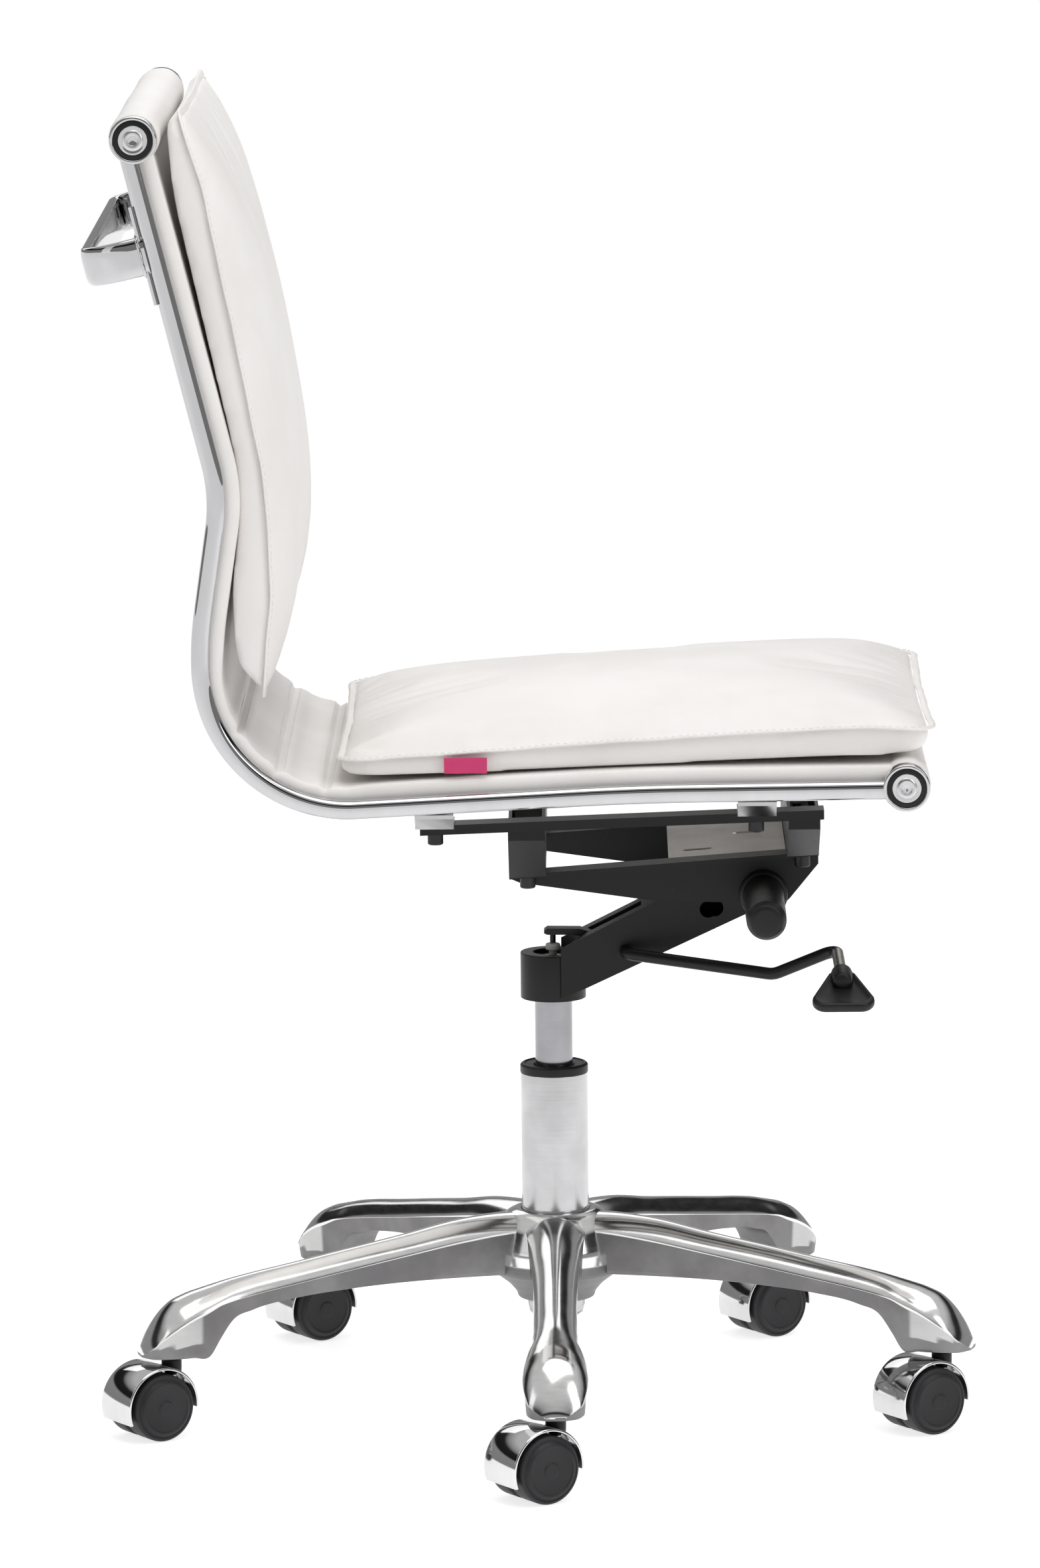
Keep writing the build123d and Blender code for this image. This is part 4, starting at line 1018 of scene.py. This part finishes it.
# ======================= base =======================
LEG_STATIONS = np.array([
    (0.018, 0.0240, 0.1040, 0.1370, 0.1475),
    (0.045, 0.0215, 0.1040, 0.1365, 0.1475),
    (0.075, 0.0190, 0.1040, 0.1325, 0.1450),
    (0.120, 0.0168, 0.1035, 0.1245, 0.1365),
    (0.165, 0.0160, 0.1015, 0.1165, 0.1288),
    (0.205, 0.0160, 0.0980, 0.1095, 0.1218),
    (0.240, 0.0165, 0.0915, 0.1035, 0.1160),
    (0.256, 0.0176, 0.0850, 0.1005, 0.1128),
    (0.266, 0.0192, 0.0720, 0.0985, 0.1103),
    (0.274, 0.0208, 0.0605, 0.0955, 0.1083),
    (0.288, 0.0228, 0.0600, 0.0900, 0.1043),
    (0.300, 0.0234, 0.0600, 0.0835, 0.0985),
    (0.311, 0.0214, 0.0600, 0.0755, 0.0870),
    (0.319, 0.0165, 0.0600, 0.0675, 0.0740),
    (0.3235, 0.0085, 0.0602, 0.0625, 0.0650),
])


def smooth_table(table, distance):
    """Columns of a table read at new distances along a smooth cubic through its rows."""
    x = table[:, 0]
    columns = []
    for column in table[:, 1:].T:
        slope = np.gradient(column, x)
        index = np.clip(np.searchsorted(x, distance) - 1, 0, len(x) - 2)
        width = x[index + 1] - x[index]
        t = (distance - x[index]) / width
        h00, h10 = 2 * t ** 3 - 3 * t ** 2 + 1, t ** 3 - 2 * t ** 2 + t
        h01, h11 = 3 * t ** 2 - 2 * t ** 3, t ** 3 - t ** 2
        columns.append(h00 * column[index] + h10 * width * slope[index]
                       + h01 * column[index + 1] + h11 * width * slope[index + 1])
    return np.stack(columns, -1)


def leg_skin():
    """One leg lying along +X.

    Each cross-section runs up the satin side, over a rounded shoulder to the crest and down again:
    the top is shoulder + (crest - shoulder) (1 - v^2)^0.8 for v across the leg.
    """
    distance = np.concatenate([np.linspace(0.018, 0.24, 60), np.linspace(0.24, 0.3235, 60)[1:]])
    half, low, shoulder, crest = smooth_table(LEG_STATIONS, distance).T
    across = np.sin(np.linspace(-pi / 2, pi / 2, 25))
    top = shoulder[:, None] + (crest - shoulder)[:, None] * (1 - np.abs(across) ** 2.2)[None] ** 0.85
    y_top = half[:, None] * across[None] * -1
    side_share = np.array([0.97, 0.93, 0.82, 0.6, 0.35, 0.12, 0.02])
    z_side = low[:, None] + (shoulder - low)[:, None] * side_share[None]
    draft = (1 - side_share) * 0.0018
    y_right = -(half[:, None] - draft[None] - 0.0006)
    z_all = np.concatenate([top, z_side, low[:, None] + np.zeros((len(distance), 9)), z_side[:, ::-1]], 1)
    floor_y = np.linspace(-1, 1, 9)[None] * (half[:, None] - 0.0030)
    y_all = np.concatenate([y_top, y_right, floor_y, -y_right[:, ::-1]], 1)
    polish = np.concatenate([np.ones(25), [0.8, 0.1], np.zeros(5 + 9 + 5), [0.1, 0.8]])
    points = np.stack([np.broadcast_to(distance[:, None], z_all.shape), y_all, z_all], -1)
    polish = np.broadcast_to(polish[None], z_all.shape).copy()
    foot = np.clip((distance - 0.262) / 0.02, 0, 1)[:, None]
    above = np.clip((z_all - 0.064) / 0.004, 0, 1)
    polish = np.maximum(polish, 0.5 * foot * above)
    return points, capped_faces(len(distance), z_all.shape[1]), polish


def star():
    """Five legs round a turned hub."""
    leg, faces, polish = leg_skin()
    parts, marks = [], []
    for angle in LEG_ANGLES:
        c, s = cos(radians(angle)), sin(radians(angle))
        turn = np.array([[c, s, 0], [-s, c, 0], [0, 0, 1]])
        parts.append((leg @ turn, faces))
        marks.append(polish.ravel())
    hub = rounded_profile([
        (0.0256, 0.1475), (0.0262, 0.1492), (0.0300, 0.1494), (0.0360, 0.1470), (0.0440, 0.1370),
        (0.0500, 0.1200), (0.0500, 0.1035), (0.0460, 0.1010), (0.0355, 0.0930), (0.0295, 0.0860),
        (0.0285, 0.0815), (0.0240, 0.0815), (0.0240, 0.1100), (0.0256, 0.1475)], 0.0030)
    hub_points, hub_faces = turned(hub, (0, 0, 0), (0, 0, 1), 120)
    parts.append((hub_points, hub_faces))
    marks.append(np.clip((hub_points[..., 2].ravel() - 0.108) / 0.004, 0, 1))
    points, faces = join_parts(parts)
    piece = add_piece("star_base", points, faces, CASTING, 48.0, 1e-7, {"polish": np.concatenate(marks)})
    place(piece, "base", "polished_aluminium", "base_star")


star()


# ======================= casters =======================
def caster_frame(angle):
    """Axle's middle, stem position, trailing direction and axle direction of a caster."""
    stem = np.array([STEM_CIRCLE_R * cos(radians(angle)), STEM_CIRCLE_R * sin(radians(angle)), 0.0])
    heading = radians(CASTER_HEADING)
    trail = np.array([cos(heading), sin(heading), 0.0])
    axle = np.array([-sin(heading), cos(heading), 0.0])
    return stem + trail * TRAIL + UP * WHEEL_R, stem, trail, axle


def hood_shell(centre, trail, axle):
    """Fender over both wheels: an arc wall with a rolled lip, from below the axle line to beyond the top."""
    angle = pi - np.radians(np.linspace(-5, 200, 72))
    section = rounded_outline(0.040, 0.0021, 0.00095, 5)
    radial = np.cos(angle)[:, None] * trail + np.sin(angle)[:, None] * UP
    drop = 0.0011 * (np.abs(section[:, 0]) / 0.020) ** 6
    radius = HOOD_R - 0.00105 + section[:, 1] - drop
    points = centre + radial[:, None] * radius[None, :, None] + axle[None, None] * section[None, :, :1]
    return points, capped_faces(len(angle), len(section))


def caster_body(number, angle):
    """Hood, web and stem boss of one caster."""
    centre, stem, trail, axle = caster_frame(angle)
    sweep_angle = pi - np.radians(np.linspace(2, 178, 40))
    rim = np.stack([np.cos(sweep_angle), np.sin(sweep_angle)], -1) * (HOOD_R - 0.0015)
    foot = [(rim[-1, 0], -0.004), (0.010, -0.0075), (-0.010, -0.0075), (rim[0, 0], -0.004)]
    rim = np.concatenate([rim, foot])
    web = np.array([centre + rim[:, :1] * trail + rim[:, 1:] * UP + axle * side for side in (-0.0019, 0.0019)])
    shape = join_parts([hood_shell(centre, trail, axle), (web, capped_faces(2, len(rim)))])
    node_piece(f"caster_{number}_fender", shape, HOOD_CHROME, f"caster_{number}_hood")
    collar = rounded_profile([(0.0, 0.0455), (0.0072, 0.0455), (0.0075, 0.0500), (0.0075, 0.0566),
                              (0.0057, 0.0572), (0.0, 0.0572)], 0.0007)
    ring = add_piece(f"caster_{number}_collar", *turned(collar, stem, UP, 40), BLACK_PLASTIC, 40.0)
    place(ring, f"caster_{number}", "black_plastic")


WHEEL_PROFILE = rounded_profile([
    (0.0, 0.0026), (0.0236, 0.0026), (0.0250, 0.0040), (0.0250, 0.0196), (0.0243, 0.0212), (0.0226, 0.0218),
    (0.0222, 0.0213), (0.0214, 0.0213), (0.0198, 0.0236), (0.0190, 0.0240), (0.0176, 0.0240), (0.0172, 0.0234),
    (0.0062, 0.0230), (0.0058, 0.0236), (0.0046, 0.0238), (0.0, 0.0238)], 0.0007)


def caster_wheel(number, angle, letter):
    """One wheel: rounded tread, stepped face with a chamfered rim and a shallow centre disc."""
    centre, _, _, axle = caster_frame(angle)
    node = f"caster_{number}_wheel_{letter}"
    middle = np.sum(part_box(node), axis=0) / 2
    side = 1.0 if (middle - centre) @ axle > 0 else -1.0
    shape = turned(WHEEL_PROFILE, centre, axle * side, 72)
    node_piece(f"caster_{number}_tread_{letter}", shape, WHEEL_PLASTIC, node)


for caster_number, caster_angle in enumerate(LEG_ANGLES, start=1):
    caster_body(caster_number, caster_angle)
    for wheel_letter in "ab":
        caster_wheel(caster_number, caster_angle, wheel_letter)


# ======================= column and mechanism =======================
def lathe_piece(name, corners, radius, material, node, segments=96):
    """A piece turned about the column's axis, from its profile corners."""
    shape = turned(rounded_profile(corners, radius), (0, 0, 0), UP, segments)
    node_piece(name, shape, material, node)


def column():
    """Tube, collar, cylinder, button and hub sleeve."""
    radius, bottom, top = tube_high[0], tube_low[2], tube_high[2]
    lathe_piece("column_outer_tube", [
        (radius - 0.0015, bottom), (radius, bottom), (radius, top), (radius - 0.0016, top),
        (radius - 0.0015, bottom)], 0.0004, TUBE_STEEL, "column_tube")
    radius, bottom, top = collar_high[0], collar_low[2], collar_high[2]
    bore = cylinder_high[0] + 0.0006
    lathe_piece("column_top_collar", [
        (bore, bottom), (radius + 0.0003, bottom), (radius + 0.0003, top - 0.0016),
        (radius - 0.0012, top - 0.0002), (0.0222, top), (0.0216, top - 0.0010),
        (bore + 0.001, top - 0.0016), (bore, top - 0.0026), (bore, bottom)],
        0.0005, BLACK_PLASTIC, "column_collar")
    radius, bottom, top = cylinder_high[0] - 0.00002, cylinder_low[2], cylinder_high[2]
    lathe_piece("lift_cylinder", [
        (0.0052, bottom), (radius, bottom), (radius, top - 0.001), (radius - 0.0012, top), (0.0052, top),
        (0.0052, bottom)], 0.0008, LIFT_STEEL, "gas_cylinder")
    radius, bottom, top = button_high[0], button_low[2], button_high[2]
    lathe_piece("release_button", [
        (0.0, bottom), (0.0030, bottom), (0.0030, top - 0.0050), (radius, top - 0.0050),
        (radius, top - 0.0006), (radius - 0.0016, top), (0.0, top)],
        0.0010, GREY_PLASTIC, "valve_button", 48)
    radius, bottom, top, bore = sleeve_high[0], sleeve_low[2], sleeve_high[2], cylinder_high[0]
    lathe_piece("arm_hub_sleeve", [
        (bore, bottom), (radius, bottom), (radius, top), (bore + 0.0006, top), (bore, bottom)],
        0.0009, POWDER, "hub_sleeve")


LEVER_POINTS = [(0.054, 0.021, 0.3475), (0.054, -0.038, 0.3475), (0.162, -0.112, 0.3445),
                (0.208, -0.124, 0.365), (0.210, -0.192, 0.3545)]
LEVER_BENDS = [0.014, 0.016, 0.014]
LEVER_R = 0.0045
LEVER_BARE_Y = -0.131
PADDLE_PLACE = (0.210, -0.184, 0.355)
SOCKET_PLACE = (0.210, -0.172, 0.3555)


def lever():
    """Bent round rod, painted up to its last bend and bare from there into the paddle."""
    samples, headings = route(LEVER_POINTS, LEVER_BENDS, 0.002)
    outline = LEVER_R * circle(24)
    bare = int(np.argmax(samples[:, 1] < LEVER_BARE_Y))
    painted_rod = swept(samples[:bare + 1], headings[:bare + 1], outline, UP)
    node_piece("height_lever_rod", painted_rod, POWDER, "lever_rod", 50.0)
    bare_rod = swept(samples[bare:], headings[bare:], outline * 0.97, UP)
    place(add_piece("height_lever_tip", *bare_rod, BARE_STEEL, 50.0), "lever", "bare_steel")
    refined("release_finger", POWDER, 0.0010)
    paddle()


def paddle():
    """Rounded triangular blade with a raised rim and a socket over the rod's end.

    The blade is a rounded outline scaled ring by ring; its thickness falls as the ring nears the edge.
    """
    corners = [(0, 0.004), (-0.0085, 0.004), (-0.0235, -0.040), (-0.0175, -0.0495), (0.0175, -0.0495),
               (0.0235, -0.040), (0.0085, 0.004), (0, 0.004)]
    edge = rounded_profile(corners, 0.0075, 9)[:-1]
    centre = np.array([0.0, -0.026])
    rings = np.array([0.0, 0.35, 0.62, 0.78, 0.86, 0.93, 0.98, 1.0, 0.995, 0.97, 0.90, 0.0])
    heights = np.array([1.6, 1.7, 1.9, 2.3, 3.3, 3.5, 2.6, 0.8, -1.6, -3.0, -3.5, -3.5])[:, None] * 0.001
    flat = centre + rings[:, None, None] * (edge[None] - centre)
    droop = radians(17.0)
    blade = np.stack([flat[..., 0], flat[..., 1] * cos(droop) - heights * sin(droop),
                      flat[..., 1] * sin(droop) + heights * cos(droop)], -1) + PADDLE_PLACE
    socket = rounded_profile([(0.0, 0.0), (0.0070, 0.0), (0.0080, 0.004), (0.0078, 0.020), (0.0066, 0.033),
                              (0.0, 0.034)], 0.003)
    shape = join_parts([(blade, grid_faces(len(rings), len(edge), wrap_columns=True)),
                        turned(socket, SOCKET_PLACE, -LEFT, 36)])
    node_piece("lever_hand_paddle", shape, BLACK_PLASTIC, "lever_paddle", 60.0)


def knob():
    """Long round knob with a collar; its end is domed."""
    pivot = joints["tension_turn"]["pos_m"]
    near, far = knob_high[1] - 0.024, knob_low[1]
    length, r = near - far, 0.0148
    profile = rounded_profile([
        (0.0, -0.024), (0.0040, -0.024), (0.0040, 0.0), (0.0178, 0.0), (0.0180, 0.0045), (0.0164, 0.0062),
        (0.0152, 0.0064), (0.0150, 0.0090), (r - 0.0002, 0.0120), (r, length - 0.034),
        (r - 0.0004, length - 0.0325), (r, length - 0.031), (r - 0.0002, length - 0.0060),
        (r - 0.0030, length - 0.0012), (0.0090, length - 0.0002), (0.0, length)], 0.0012)
    shape = turned(profile, (pivot[0], near, pivot[2]), -LEFT, 64)
    node_piece("tension_hand_knob", shape, BLACK_PLASTIC, "tension_knob")


column()
lever()
knob()
EDGE_ROUNDINGS = {"seat_bracket": 0.0009, "tilt_arm": 0.0009, "rear_member": 0.0009, "front_member": 0.0009,
                  "left_mount_rail": 0.0009, "right_mount_rail": 0.0009, "bracket_plate": 0.0004,
                  "frame_tabs": 0.0009, "frame_bolts": 0.0005, "member_bolts": 0.0005, "bottom_cap": 0.0003}
for refined_node, rounding in EDGE_ROUNDINGS.items():
    finish_of_node = SATIN_PLATE if refined_node == "frame_tabs" else SLOT_FINISH[slot_of[refined_node]]
    refined(refined_node, finish_of_node, rounding)
